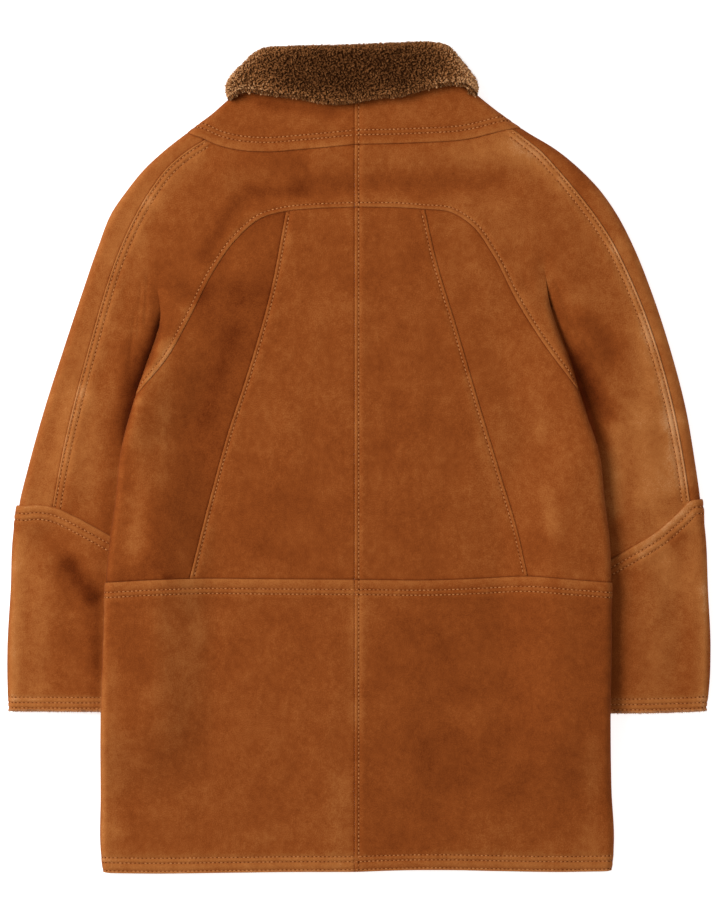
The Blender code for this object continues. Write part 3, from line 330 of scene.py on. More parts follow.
def smooth(value):
    """0 below 0, 1 above 1, and an S between."""
    value = np.clip(value, 0.0, 1.0)
    return value * value * (3.0 - 2.0 * value)


def bell(distance, amount, width, place=0.0):
    """A soft mark: an amount at a place, less to both sides of it."""
    return amount * np.exp(-((distance - place) / width)**2)


def unit(vectors, least=0.0):
    """The vectors at length 1."""
    return vectors / np.maximum(np.linalg.norm(vectors, axis=1), least)[:, None]


def left_of(vectors):
    """Plane vectors after a quarter turn to the left."""
    return np.stack((-vectors[:, 1], vectors[:, 0]), axis=1)


def lengths_along(line):
    """How far along a line each of its points is."""
    return np.concatenate(([0.0], np.cumsum(np.linalg.norm(np.diff(line, axis=0), axis=1))))


def interpolated(t, knots, table):
    """The rows of a table of plane vectors, one to a knot, blended at each t."""
    return np.column_stack([np.interp(t, knots, table[:, k]) for k in (0, 1)])


def spline(points, step):
    """A smooth curve with a point at each given one and about every step between."""
    given = np.array(points, float)
    knots = lengths_along(given)
    slope = np.gradient(given, knots, axis=0)
    out = [given[0]]
    for i in range(len(given) - 1):
        span = knots[i + 1] - knots[i]
        count = max(1, int(math.ceil(span / step)))
        for k in range(1, count + 1):
            u = k / count
            out.append((2 * u**3 - 3 * u**2 + 1) * given[i]
                       + (u**3 - 2 * u**2 + u) * span * slope[i]
                       + (3 * u**2 - 2 * u**3) * given[i + 1]
                       + (u**3 - u**2) * span * slope[i + 1])
    return np.array(out)


def normals(curve, side):
    """Unit normals of a curve, to the left of its direction for side 1, right for -1."""
    across = left_of(unit(np.gradient(curve, axis=0))) * side
    padded = np.pad(across, ((3, 3), (0, 0)), mode="edge")
    return unit(sum(padded[k:k + len(across)] for k in range(7)) / 7)


def feet(curve, points):
    """For each point, the nearest place on a polyline: segment, share along it, and offset."""
    start, along = curve[:-1], np.diff(curve, axis=0)
    length = np.maximum((along * along).sum(1), 1e-12)
    out = []
    for first in range(0, len(points), CHUNK):
        rel = points[first:first + CHUNK, None] - start[None]
        share = np.clip((rel * along).sum(2) / length, 0.0, 1.0)
        away = rel - along * share[..., None]
        i = np.argmin((away * away).sum(2), axis=1)
        n = np.arange(len(i))
        out.append(np.column_stack((i, share[n, i], away[n, i])))
    out = np.concatenate(out) if out else np.zeros((0, 4))
    return out[:, 0].astype(int), out[:, 1], out[:, 2:]


def distance_to(curve, points):
    """Distance from each point to a polyline."""
    return np.linalg.norm(feet(curve, points)[2], axis=1)


class Fold:
    """An edge where the cloth turns down round a roll. Its axis is the roll's own axis, seen
    from above. t runs along the axis, s is the length of cloth past it."""

    def __init__(self, outline, side, radius=ROLL, opening=None):
        rim = spline(outline, RIM_STEP)
        self.radius = radius
        self.side = side
        self.open = np.ones(len(rim)) if opening is None else opening(rim)
        offset = radius * np.sin(self.open * math.pi / 2)
        self.axis = rim - normals(rim, side) * offset[:, None]
        self.across = normals(self.axis, side)
        self.t = lengths_along(self.axis)
        turning = np.gradient(self.across, self.t, axis=0)
        self.spread = side * (turning[:, 0] * self.across[:, 1]
                              - turning[:, 1] * self.across[:, 0])
        self.marks = []

    def section(self, t):
        """The axis point at each t and the unit direction outward from it."""
        return interpolated(t, self.t, self.axis), unit(interpolated(t, self.t, self.across))

    def locate(self, points):
        """t and s of points on the flat cloth; s is negative inside."""
        points = np.atleast_2d(points)
        i, share, away = feet(self.axis, points)
        t = self.t[i] + share * (self.t[i + 1] - self.t[i])
        across = self.section(t)[1]
        free = (t > 0.0) & (t < self.t[-1])
        for _ in range(REFINE):
            foot, new_across = self.section(t)
            new_away = points - foot
            away = np.where(free[:, None], new_away, away)
            across = np.where(free[:, None], new_across, across)
            off = (away[:, 0] * across[:, 1] - away[:, 1] * across[:, 0]) * self.side
            turn = 1.0 + (away * across).sum(1) * np.interp(t, self.t, self.spread)
            t = np.where(free, t + off / np.maximum(0.3, turn), t)
        return t, np.copysign(np.linalg.norm(away, axis=1), (away * across).sum(1))

    def t_of(self, point):
        return float(self.locate(point)[0][0])

    def s_of(self, point):
        return float(self.locate(point)[1][0])

    def at(self, t, s):
        """The points on the flat cloth at t and s."""
        foot, across = self.section(np.atleast_1d(t))
        return foot + across * np.atleast_1d(s)[:, None]

    def unroll(self, points):
        """The points on the flat cloth that are seen at places from above."""
        t, seen = self.locate(points)
        turned = self.radius * np.arcsin(np.clip(seen / self.radius, 0.0, 1.0))
        return np.where(seen[:, None] <= 0.0, points, self.at(t, turned))

    def half_way(self, t):
        """s where the cloth has turned as far as this fold is open."""
        return self.radius * math.pi / 2 * np.interp(t, self.t, self.open)

    def run(self, first, last, s):
        """Points along the fold at s, which is a number or a function of t."""
        low, high = min(first, last), max(first, last)
        inner = np.arange(math.ceil(low / FOLD_STEP), math.floor(high / FOLD_STEP) + 1)
        inner = inner * FOLD_STEP
        fixed = np.array([low, high] + [m for m in self.marks
                                        if low + ON_AXIS < m < high - ON_AXIS])
        keep = [t for t in inner if np.abs(fixed - t).min() > KEPT_OFF * FOLD_STEP]
        t = np.sort(np.concatenate((fixed, keep)))
        if first > last:
            t = t[::-1]
        return list(self.at(t, s(t) if callable(s) else np.full(len(t), s)))

    def turn(self, t, first, last):
        """Points round the roll at one t, from one angle to another in degrees."""
        count = max(1, round(abs(last - first) / 90 * FOLD_ROWS))
        angles = np.radians(np.linspace(first, last, count + 1))
        return list(self.at(np.full(count + 1, t), self.radius * angles))


def to_rim(fine, fold, square):
    """Where a finely drawn line crosses a fold's rows, from the axis out to the rim. A square
    one turns at the axis and goes straight round."""
    t, seen = fold.locate(np.array(fine))
    first = int(np.argmax(seen > 0))
    crossing = []
    for row in range(FOLD_ROWS + 1):
        angle = math.pi / 2 * row / FOLD_ROWS
        beyond = np.nonzero(seen[first:] >= fold.radius * math.sin(angle))[0]
        i = first + int(beyond[0]) if len(beyond) else int(np.argmax(seen))
        crossing.append(fold.at(t[first if square else i], fold.radius * angle)[0])
    fold.marks.append(fold.t_of(crossing[-1]))
    return crossing


def seam(points, start=None, end=None, square=False):
    """A line on the flat cloth, from the fold start or its first point to the fold end or its
    last, through the given points between them."""
    fine = spline(points, FINE)
    path = spline(points, STEP)
    given = {key(p) for p in points}
    near = np.array([-NEAR_GIVEN if key(p) in given else -NEAR_AXIS for p in path])
    for fold in (start, end):
        if fold:
            keep = fold.locate(path)[1] < near
            path, near = path[keep], near[keep]
    path = list(path)
    head, tail = [], []
    if end:
        middle = int(np.argmin(np.linalg.norm(fine - path[-1], axis=1)))
        tail = to_rim(fine[middle:], end, square)
    if start:
        middle = int(np.argmin(np.linalg.norm(fine - path[0], axis=1)))
        head = to_rim(fine[middle::-1], start, square)[::-1]
    return head + path + tail


def nearest(path, point):
    """Index of the path's point nearest to a place."""
    return int(np.argmin(np.linalg.norm(np.array(path) - np.array(point), axis=1)))


def centre(first, last):
    """Points down the centre line between two heights."""
    count = max(1, int(math.ceil(abs(last - first) / STEP)))
    return [np.array((CENTRE_X, y)) for y in np.linspace(first, last, count + 1)]


def loop(*paths):
    """One closed outline from paths that follow each other."""
    out = []
    for path in paths:
        for p in path:
            if not out or np.linalg.norm(p - out[-1]) > SAME:
                out.append(np.array(p, float))
    if np.linalg.norm(out[0] - out[-1]) < SAME:
        out.pop()
    return np.array(out)


def area(outline):
    x, y = outline[:, 0], outline[:, 1]
    return 0.5 * float(np.sum(x * np.roll(y, -1) - np.roll(x, -1) * y))


def inset(outline, amount, fixed=()):
    """The outline moved in by an amount, but for its fixed points."""
    if area(outline) < 0:
        outline = outline[::-1]
    in_back = left_of(unit(outline - np.roll(outline, 1, axis=0)))
    in_ahead = left_of(unit(np.roll(outline, -1, axis=0) - outline))
    scale = amount / np.maximum(SHARPEST, 1.0 + (in_back * in_ahead).sum(1))
    moved = outline + (in_back + in_ahead) * scale[:, None]
    keys = {key(p) for p in fixed}
    for i, p in enumerate(outline):
        if key(p) in keys:
            moved[i] = p
    return moved


def key(point):
    return (round(float(point[0]), 3), round(float(point[1]), 3))


def inside(outline, points):
    """Which points lie inside a closed outline."""
    x0, y0 = outline[:, 0], outline[:, 1]
    x1, y1 = np.roll(x0, -1), np.roll(y0, -1)
    rise = np.where(y1 == y0, 1e-12, y1 - y0)
    out = []
    for first in range(0, len(points), CHUNK):
        x = points[first:first + CHUNK, 0, None]
        y = points[first:first + CHUNK, 1, None]
        cuts = (y0 > y) != (y1 > y)
        at = x0 + (y - y0) / rise * (x1 - x0)
        out.append((cuts & (at > x)).sum(1) % 2 == 1)
    return np.concatenate(out) if out else np.zeros(0, bool)


def thinned(chosen, more, gap):
    """Points already chosen, and those of more that keep a gap from them."""
    if len(more) == 0:
        return chosen
    tree = kdtree.KDTree(len(chosen))
    for i, p in enumerate(chosen):
        tree.insert((p[0], p[1], 0.0), i)
    tree.balance()
    keep = [tree.find((p[0], p[1], 0.0))[2] > gap for p in more]
    return np.vstack((chosen, more[keep]))


def beside(line, distance, outline):
    """The line moved sideways into an outline, in order, where it stays at that distance."""
    across = normals(line, 1)
    best = np.zeros((0, 2))
    for side in (1, -1):
        moved = line + across * distance * side
        moved[0] += (moved[1] - moved[0]) * END_PULL
        moved[-1] += (moved[-2] - moved[-1]) * END_PULL
        far = distance_to(line, moved) > distance * BESIDE_SHARE - BESIDE_LESS
        keep = inside(outline, moved) & far
        if keep.sum() > len(best):
            best = moved[keep]
    return best


def evenly(line, pitch):
    """Places along a line at about a pitch, and the direction there. Gaps stay empty."""
    t = lengths_along(line)
    count = max(1, round(t[-1] / pitch))
    where = (np.arange(count) + 0.5) * t[-1] / count
    i = np.clip(np.searchsorted(t, where) - 1, 0, len(line) - 2)
    along = line[i + 1] - line[i]
    keep = np.linalg.norm(along, axis=1) < LINE_GAP
    return interpolated(where, t, line)[keep], unit(along)[keep]


def staggered(xs, ys, step):
    """A grid of points, with every second row moved half a step."""
    return np.array([(x + (0.5 * step if j % 2 else 0.0), y)
                     for j, y in enumerate(ys) for x in xs])


class Layer:
    """How a piece of flat cloth lies: on top with its skin up, or underneath with it down."""

    def __init__(self, folds=(), up=True, base=0.0, stack=STACK, wall=WALL, rise=None,
                 creased=False, sink=None):
        self.folds = list(folds)
        self.up = up
        self.base = base
        self.stack = stack
        self.wall = wall
        self.rise = rise or (lambda points: np.zeros(len(points)))
        self.creased = creased
        self.sink = sink

    def past(self, points):
        """How far each point is past the nearest fold's axis, and which fold that is."""
        if not self.folds:
            return np.full(len(points), -1e9), np.zeros(len(points)), np.zeros(len(points), int)
        places = [fold.locate(points) for fold in self.folds]
        s = np.array([place[1] for place in places])
        which = np.argmax(s, axis=0)
        n = np.arange(len(points))
        return s[which, n], np.array([place[0] for place in places])[which, n], which

    def lay(self, points, depth, lift):
        """Where points of the flat cloth lie; depth is 0 on its skin and 1 on its pile."""
        s, t, which = self.past(points)
        depth = np.broadcast_to(depth, len(points))
        floor = self.base + self.rise(points)
        if self.up:
            z = floor + self.stack - self.wall * depth + lift
        else:
            z = floor + self.wall * depth - lift
        laid = np.column_stack((points, z))
        for number, fold in enumerate(self.folds):
            on = (s > 0.0) & (which == number)
            if not on.any():
                continue
            angle = np.minimum(s[on] / fold.radius, math.pi)
            past = s[on] - fold.radius * angle
            foot, across = fold.section(t[on])
            reach = fold.radius - self.wall * depth[on] + lift[on]
            side = foot + across * (reach * np.sin(angle) - past)[:, None]
            floor = self.base + self.rise(foot)
            if self.up:
                z = floor + self.stack - fold.radius + reach * np.cos(angle)
            else:
                z = floor + fold.radius - reach * np.cos(angle)
            laid[on] = np.column_stack((side, z))
        if self.sink:
            laid[:, 2] -= self.sink(points)[0] * (1.0 - SINK_LOST * depth)
        return laid

    def slope(self, points, step, depth, lift):
        """From where a step back on the flat cloth lies to where a step ahead does."""
        return self.lay(points + step, depth, lift) - self.lay(points - step, depth, lift)

    def outward(self, ahead, aside):
        """Unit vectors out of the skin, from one along it and one to the left of that."""
        up = unit(np.cross(ahead, aside), 1e-6)
        return up if self.up else -up


# Seams and edges, as the piece on top has them: height of the lap, width that is level, width
# over which it sinks, rounding of the edge, and the rows of stitches from the edge
KINDS = {
    "neck": (1.3, 12.0, 22.0, 1.3, (10.5, 15.8)),
    "waist": (1.5, 12.0, 22.0, 1.3, (11.0, 16.5)),
    "elbow": (1.8, 11.0, 20.0, 1.5, (8.4, 15.6)),
    "shoulder": (0.9, 6.0, 16.0, 1.0, (3.0, 8.8)),
    "arch": (0.5, 4.0, 12.0, 0.9, (5.0,)),
    "slant": (0.5, 4.0, 12.0, 0.9, (4.2,)),
    "centre": (0.4, 4.0, 12.0, 0.6, (4.7,)),
    "hem": (0.0, 1.0, 1.0, 2.0, (2.6, 11.5, 17.0)),
    "cuff": (0.0, 1.0, 1.0, 1.4, (4.0, 9.8, 15.8)),
    "under": (0.0, 1.0, 1.0, 0.5, ()),
    "plain": (0.0, 1.0, 1.0, 1.0, ()),
}
AT_RIM = {"neck": 0.05, "waist": 0.7, "elbow": 1.0}   # share of a lap that is left at a rim
AT_RIM_ELSE = 0.2
RIM_FADE = 10.0            # a lap sinks to that share over this width past a fold's axis

# Relief beside an edge. Marks are amount, width and, where it isn't 0, distance from the edge
EDGE_DROP = 0.85           # of its rounding, which an edge sinks
DIP = (0.25, 1.6)          # the piece underneath dips into a seam
# painted shade in the seam where it dips
DIP_SHADE = (0.65, 1.6)
UNDER_STATIONS = {2.2, 4.0}        # distances from such a seam that need points
ROUNDING_STATION = 0.35            # so does this share of an edge's rounding
NEAREST = 0.3                      # but nothing that is nearer to the edge
GROOVE = 0.85              # depth of a row of stitches
# painted shade in a row's groove
GROOVE_SHADE = 0.35
GROOVE_WIDTH = 1.15
ROW_OFFSETS = (-1.5, -0.75, 0.0, 0.75, 1.5)   # points across a row, or shares of a wrinkle
ROWS_APART = 6.0           # rows further apart than this swell less between
PUFF = 0.45                # the cloth swells between rows
PUFF_PAST = (0.225, 2.8, 4.0)                 # and past the last one

# Wear and painted highlight: paler where the cloth is rubbed, and painted highlight on a lap's
# raised edge, on the swelling between rows and on bands that the relief would shade
EDGE_WEAR_AND_HIGHLIGHT = (0.65, 1.5, 1.2)
BETWEEN_ROWS_WEAR_AND_HIGHLIGHT = 0.4
BAND_WEAR_AND_HIGHLIGHT = {"hem": 0.9, "cuff": 0.9, "waist": 0.55, "elbow": 0.45, "shoulder": 0.3}
BAND_PAST = 0.5            # the paler band ends this far past the last row
BAND_FADE = 4.0
ONE_ROW_WEAR_AND_HIGHLIGHT = (0.4, 5.0, 5.0)
BARE = {"cuff": 2.0, "hem": 0.8}   # how pale the wool makes an edge
BARE_WIDTH = 2.4
MOST_WEAR_AND_HIGHLIGHT = 3.0
MOST_SHADE = 2.5
RING_SHADE = 0.5           # painted shade where the skin's own thickness shows

# Stitches
PITCH = 4.6
STITCH_SWAY = 0.05
STITCH_SIZES = (0.9, 1.08)
STITCH = (2.8, 0.78, 0.10)         # length, radius, and height above the cloth
HOLE = (2.2, 0.85, -0.40)
# the holes are painted dark: painted shade in the needle holes
HOLE_SHADE = -3.0


class Edge:
    """A seam or edge on the flat cloth, and the relief of the piece beside it."""

    def __init__(self, line, kind):
        self.line = np.array(line)
        self.kind = kind
        self.height, self.level, self.fade, self.round, self.rows = KINDS[kind]
        self.at_rim = AT_RIM.get(kind, AT_RIM_ELSE)

    def stations(self):
        """Distances from the edge at which the relief needs points."""
        at = {self.round * ROUNDING_STATION, self.round}
        if self.kind == "under":
            at |= UNDER_STATIONS
        last = 0.0
        for row in self.rows:
            at |= {row + d for d in ROW_OFFSETS}
            if row - last > ROWS_APART:
                at.add((row + last) / 2)
            last = row
        return sorted(d for d in at if d > NEAREST)

    def relief(self, points):
        """Height of the lap, smaller relief, and the cloth's wear with painted highlight and its
        painted shade there.
        """
        d = distance_to(self.line, points)
        lap = self.height * (1.0 - smooth((d - self.level) / self.fade))
        inward = np.clip(1.0 - d / self.round, 0.0, 1.0)
        small = -EDGE_DROP * self.round * (1.0 - np.sqrt(1.0 - inward**2))
        wear_and_highlight, shade = np.zeros(len(points)), np.zeros(len(points))
        if self.kind not in ("under", "plain"):
            wear_and_highlight += bell(d, *EDGE_WEAR_AND_HIGHLIGHT)
        if self.kind == "under":
            small -= DIP[0] * np.exp(-d / DIP[1])
            shade += DIP_SHADE[0] * np.exp(-d / DIP_SHADE[1])
        last = 0.0
        for row in self.rows:
            small -= bell(d, GROOVE, GROOVE_WIDTH, row)
            shade += bell(d, GROOVE_SHADE, GROOVE_WIDTH, row)
            between = (d > last) & (d < row)
            arc = np.where(between, np.sin(math.pi * (d - last) / (row - last)), 0.0)
            small += PUFF * min(1.0, ROWS_APART / (row - last)) * arc
            wear_and_highlight += BETWEEN_ROWS_WEAR_AND_HIGHLIGHT * arc
            last = row
        past = smooth((d - last - BAND_PAST) / BAND_FADE)
        wear_and_highlight += BAND_WEAR_AND_HIGHLIGHT.get(self.kind, 0.0) * (1.0 - past)
        wear_and_highlight += bell(d, BARE.get(self.kind, 0.0), BARE_WIDTH)
        if len(self.rows) == 1:
            wear_and_highlight = np.maximum(wear_and_highlight, bell(d, *ONE_ROW_WEAR_AND_HIGHLIGHT))
        if self.rows:
            small += bell(d - last, *PUFF_PAST)
        return lap, small, wear_and_highlight, shade


def along_lines(points, table):
    """Sum of soft marks, each along a line from x0, y0 to x1, y1 with a half width and size."""
    total = np.zeros(len(points))
    for x0, y0, x1, y1, width, size in table:
        total += bell(distance_to(np.array([(x0, y0), (x1, y1)]), points), size, width)
    return total


# In radians to the millimetre, and the phase
WAVES = [(rng.normal(size=2) * rng.uniform(0.05, 0.13), rng.uniform(0, 6.28))
         for _ in range(28)]


def ripple(points):
    """Low uneven swelling of the cloth."""
    total = sum(np.sin(points @ wave + phase) for wave, phase in WAVES)
    return total / math.sqrt(len(WAVES))


def armpit(points, name, sleeve):
    """How the cloth sinks into the armpit's crease, and a sleeve towards the body that lies on
    it: depth, and share of painted shade."""
    start_y = CREASE[name][CREASE_START][1]
    below = start_y - points[:, 1]
    crease = np.array(CREASE[name][CREASE_START - 1:CREASE_START + 4])
    there = (smooth((below + CREASE_ABOVE) / CREASE_COMES)
             * (1.0 - smooth(below / CREASE_GOES)))
    near = bell(distance_to(crease, points), 1.0, CREASE_WIDTH) * there
    sink, shade = CREASE_DEPTH * near, CREASE_SHADE[sleeve] * near
    if sleeve:
        depth, width = ARMPIT[name]
        line = np.array(CREASE[name][CREASE_START:] + BODY_EDGE[name][:6])
        opened = smooth((below - ARMPIT_START) / ARMPIT_COMES)
        opened *= 1.0 - ARMPIT_LOST * smooth((ARMPIT_LOW_Y - points[:, 1]) / ARMPIT_GOES)
        near = bell(distance_to(line, points), 1.0, width) * opened
        sink, shade = sink + depth * near, np.maximum(shade, ARMPIT_SHADE * near)
    return sink, shade


def lifts(points, layer, edges):
    """Relief of a piece at points of its flat cloth, and its wear with painted highlight and its
    painted shade there.
    """
    s = layer.past(points)[0]
    lap, small, wear_and_highlight, shade = np.zeros((4, len(points)))
    for edge in edges:
        edge_lap, edge_small, edge_wear_and_highlight, edge_shade = edge.relief(points)
        kept = 1.0 - (1.0 - edge.at_rim) * smooth(s / RIM_FADE)
        lap = np.maximum(lap, edge_lap * kept)
        small += edge_small
        wear_and_highlight = np.maximum(wear_and_highlight, edge_wear_and_highlight)
        shade = np.maximum(shade, edge_shade)
    flat = smooth(-s / CREASE_END)
    if layer.creased:
        lap = lap + along_lines(points, CREASES) * flat
        lap += along_lines(points, WRINKLES) * smooth(-s / WRINKLE_END)
        lap += RIPPLE * ripple(points) * flat
    if layer.sink:
        shade = np.maximum(shade, layer.sink(points)[1])
    half_turn = math.pi * (layer.folds[0].radius if layer.folds else ROLL)
    if layer.up:
        # Nothing stands out where the cloth has turned so far that it comes near the floor
        free = smooth((0.9 * half_turn - s) / (0.4 * half_turn))
        lap = np.where(lap > 0, lap * free, lap)
    else:
        # Nothing stands out where it lies on the floor
        free = smooth(s / (half_turn / 2))
        lap = lap * free + along_lines(points, UNDER_CREASES) * flat
    small = np.where(small > 0, small * free, small)
    return lap + small, np.clip(wear_and_highlight, 0, MOST_WEAR_AND_HIGHLIGHT), np.clip(shade, 0, MOST_SHADE)


def cut(outline, layer, edges, fine):
    """Triangles over a flat outline: fine ones carry the relief, coarse ones the pile side."""
    low, high = outline.min(0), outline.max(0)
    limit = np.vstack((outline, outline[:1]))
    chosen = outline

    def offer(points, gap, margin):
        nonlocal chosen
        points = np.array(points).reshape(-1, 2)
        points = points[inside(outline, points)]
        points = points[distance_to(limit, points) > margin]
        chosen = thinned(chosen, points, gap)

    if fine:
        for edge in edges:
            rows = [beside(edge.line, d, outline) for d in edge.stations()]
            rows = [row for row in rows if len(row)]
            if rows:
                offer(np.vstack(rows), gap=0.42, margin=0.3)
    for fold in layer.folds:
        step, rows = (FOLD_STEP, FOLD_ROWS) if fine else (PILE_FOLD_STEP, PILE_FOLD_ROWS)
        ts = np.arange(fold.t[0], fold.t[-1], step)
        places = [fold.at(ts, np.full(len(ts), fold.radius * math.pi / 2 * row / rows))
                  for row in range(2 * rows)]
        offer(np.vstack(places), gap=1.2 if fine else 3.0, margin=0.8)
    if fine and layer.creased:
        for x0, y0, x1, y1, width, _ in WRINKLES:
            if width < NARROW:
                line = spline([(x0, y0), (x1, y1)], WRINKLE_STEP)
                more = np.vstack([line + normals(line, 1) * width * k for k in ROW_OFFSETS])
                offer(more[layer.past(more)[0] < -2 * NEAR_AXIS], gap=0.9, margin=1.0)
    step = STEP if fine else PILE_STEP
    grid = staggered(*(np.arange(math.floor(a / step), math.ceil(b / step) + 1) * step
                       for a, b in zip(low, high)), step)
    for fold in layer.folds:
        grid = grid[fold.locate(grid)[1] < -0.5 * step]
    offer(grid, gap=0.55 * step, margin=1.0 if fine else 0.5 * step)
    # The outline is the one given face, and only the triangles inside it are kept
    verts, _, faces, *_ = delaunay_2d_cdt([tuple(p) for p in chosen], [],
                                          [list(range(len(outline)))], 1, 1e-5)
    return [np.array(v[:]) for v in verts], faces


# A part of a piece of cloth that lies in one way. Its fixed points stay where they are when
# the seams are opened, because the piece goes on past them in another patch
Patch = namedtuple("Patch", "outline layer edges fixed")


def patch(outline, layer, *edges, fixed=()):
    """A patch whose edges are given as line and kind."""
    return Patch(outline, layer, [Edge(*edge) for edge in edges], fixed)


def join_patches(patches, fine):
    """Flat vertices, the patch that each belongs to, faces, and each place's vertex."""
    known, flat, which, out = {}, [], [], []
    for number, (outline, layer, edges, fixed) in enumerate(patches):
        points, faces = cut(inset(outline, SEAM_GAP / 2, fixed), layer, edges, fine)
        ids = []
        for p in points:
            if key(p) not in known:
                known[key(p)] = len(flat)
                flat.append(p)
                which.append(number)
            ids.append(known[key(p)])
        for face in faces:
            face = [ids[i] for i in face]
            if len(set(face)) == 3:
                out.append(face)
    return np.array(flat), np.array(which), out, known


def lay_patches(patches, flat, which, depth, used):
    """Laid vertices, their wear with painted highlight and their painted shade; used is what is
    left of their relief.
    """
    laid = np.zeros((len(flat), 3))
    wear_and_highlight, shade = np.zeros(len(flat)), np.zeros(len(flat))
    for number, one in enumerate(patches):
        on = which == number
        if on.any():
            lift, wear_and_highlight[on], shade[on] = lifts(flat[on], one.layer, one.edges)
            laid[on] = one.layer.lay(flat[on], depth, used(lift))
    return laid, wear_and_highlight, shade


def add_mesh(name, verts, faces, materials, attributes, indices=None, angle=60.0):
    """An object on the one body, from millimetres, smooth but for edges sharper than an
    angle."""
    mesh = bpy.data.meshes.new(name)
    mesh.from_pydata((np.array(verts) * MM).tolist(), [], faces)
    mesh.update()
    for made in materials:
        mesh.materials.append(MATERIALS[made])
    if indices is not None:
        mesh.polygons.foreach_set("material_index", indices)
    for label, values in attributes.items():
        layer = mesh.attributes.new(label, "FLOAT", "POINT")
        layer.data.foreach_set("value", np.asarray(values, np.float32))
    mesh.shade_smooth()
    mesh.set_sharp_from_angle(angle=math.radians(angle))
    thing = bpy.data.objects.new(name, mesh)
    bpy.context.scene.collection.objects.link(thing)
    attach(thing, "root")
    return thing


def ring_faces(count, sides, first=0):
    """Quads between rings of vertices that follow each other from a first one."""
    return [(a + k, a + (k + 1) % sides, a + sides + (k + 1) % sides, a + sides + k)
            for a in range(first, first + (count - 1) * sides, sides) for k in range(sides)]


def capsule():
    """Unit stitch: vertices along x from -0.5 to 0.5 with radius 1 in y and z, and faces."""
    rings, sides = [(-0.4, 0.7), (0.0, 1.0), (0.4, 0.7)], 6
    turns = [2 * math.pi * k / sides for k in range(sides)]
    verts = [(-0.5, 0.0, 0.0)]
    verts += [(x, r * math.cos(a), r * math.sin(a)) for x, r in rings for a in turns]
    verts.append((0.5, 0.0, 0.0))
    faces = [(0, 1 + (k + 1) % sides, 1 + k) for k in range(sides)]
    faces += ring_faces(len(rings), sides, 1)
    last, a = len(verts) - 1, len(verts) - 1 - sides
    faces += [(last, a + k, a + (k + 1) % sides) for k in range(sides)]
    return np.array(verts), faces


CAPSULE = capsule()


def stitches(name, patches):
    """Every row of stitches on a piece, with a hole after each stitch, as one mesh."""
    verts, faces, shades = [], [], []
    bead, bead_faces = CAPSULE
    for one, edge, row in [(one, edge, row) for one in patches for edge in one.edges
                           for row in edge.rows]:
        line = beside(edge.line, row, one.outline)
        if len(line) < 3:
            continue
        layer = one.layer
        at, along = evenly(line, PITCH)
        along = along + left_of(along) * rng.normal(0, STITCH_SWAY, len(at))[:, None]
        lift = lifts(at, layer, one.edges)[0]
        here = layer.lay(at, 0.0, lift)
        ahead = unit(layer.slope(at, along, 0.0, lift))
        up = layer.outward(ahead, layer.slope(at, left_of(along), 0.0, lift))
        across = np.cross(up, ahead)
        for i in range(len(at)):
            scale = rng.uniform(*STITCH_SIZES)
            hole = here[i] + ahead[i] * PITCH / 2
            for (length, radius, height), size, place, tone in (
                    (STITCH, scale, here[i], rng.uniform(-1, 1)),
                    (HOLE, 1.0, hole, HOLE_SHADE)):
                axes = np.array([ahead[i] * (length * size), across[i] * radius,
                                 up[i] * radius])
                faces.extend([tuple(len(verts) + k for k in face) for face in bead_faces])
                verts.extend(bead @ axes + place + up[i] * height)
                shades.extend([tone] * len(bead))
    if not verts:
        return None
    return add_mesh("stitches_" + name, verts, faces, ["thread"], {"shade": shades})


def piece(name, patches, finish="suede", tone=None, sunk=0.0):
    """One piece of cloth with its thickness and its stitches, in place of its CAD node. Its
    faces are the skin, a ring that shows the skin's own thickness, the wool below that, and
    the pile side."""
    tone = PIECE_TONE_AND_LIGHT.get(name, 0.0) if tone is None else tone
    top = patches[0].layer
    flat, which, faces, _ = join_patches(patches, True)
    laid, wear_and_highlight, shade = lay_patches(patches, flat, which, 0.0, lambda lift: lift - sunk)
    pile_flat, pile_which, pile_faces, pile_known = join_patches(patches, False)
    pile_laid = lay_patches(patches, pile_flat, pile_which, 1.0, lambda lift: lift * 0.0)[0]

    sided = dict.fromkeys(edge for a, b, c in faces for edge in ((a, b), (b, c), (c, a)))
    rim = [(a, b) for a, b in sided if (b, a) not in sided]
    rim_points = sorted({i for edge in rim for i in edge})
    ring_laid = lay_patches(patches, flat[rim_points], which[rim_points], LEATHER / top.wall,
                            lambda lift: np.minimum(lift, 0.0) - sunk)[0]
    ring = {i: len(flat) + n for n, i in enumerate(rim_points)}
    pile_first = len(flat) + len(rim_points)
    below = {i: pile_first + pile_known[key(flat[i])] for i in rim_points}
    turned = np.zeros(len(flat), bool)
    for number, one in enumerate(patches):
        on = which == number
        turned[on] = one.layer.past(flat[on])[0] > NEAR_AXIS

    out = [list(face) for face in faces]
    material = [0] * len(out)
    for a, b in rim:
        out += [[b, a, ring[a], ring[b]], [ring[b], ring[a], below[a], below[b]]]
        material += [0, 0 if turned[a] and turned[b] else 1]
    out += [[pile_first + i for i in reversed(face)] for face in pile_faces]
    material += [1] * len(pile_faces)
    if not top.up:
        out = [face[::-1] for face in out]

    rest = len(ring_laid) + len(pile_laid)
    tones = along_lines(flat, PAINTED_LIGHT_AND_TONE) * (1.0 if top.up else 0.0)
    tones += tone(flat) if callable(tone) else tone
    rest_tone = float(tones.mean()) if callable(tone) else tone
    # Per vertex: the cloth's own tone with painted light and shade, its wear with painted
    # highlight, and painted shade, which the ring and the pile side also get
    attributes = {label: np.concatenate((values, np.full(rest, behind)))
                  for label, values, behind in (("tone", tones, rest_tone),
                                                ("wear_and_highlight", wear_and_highlight, 0.0),
                                                ("shade", shade, RING_SHADE))}
    cloth = add_mesh("cloth_" + name, np.vstack((laid, ring_laid, pile_laid)), out,
                     [finish, "wool"], attributes, material)
    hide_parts(name)
    sewn = stitches(name, patches)


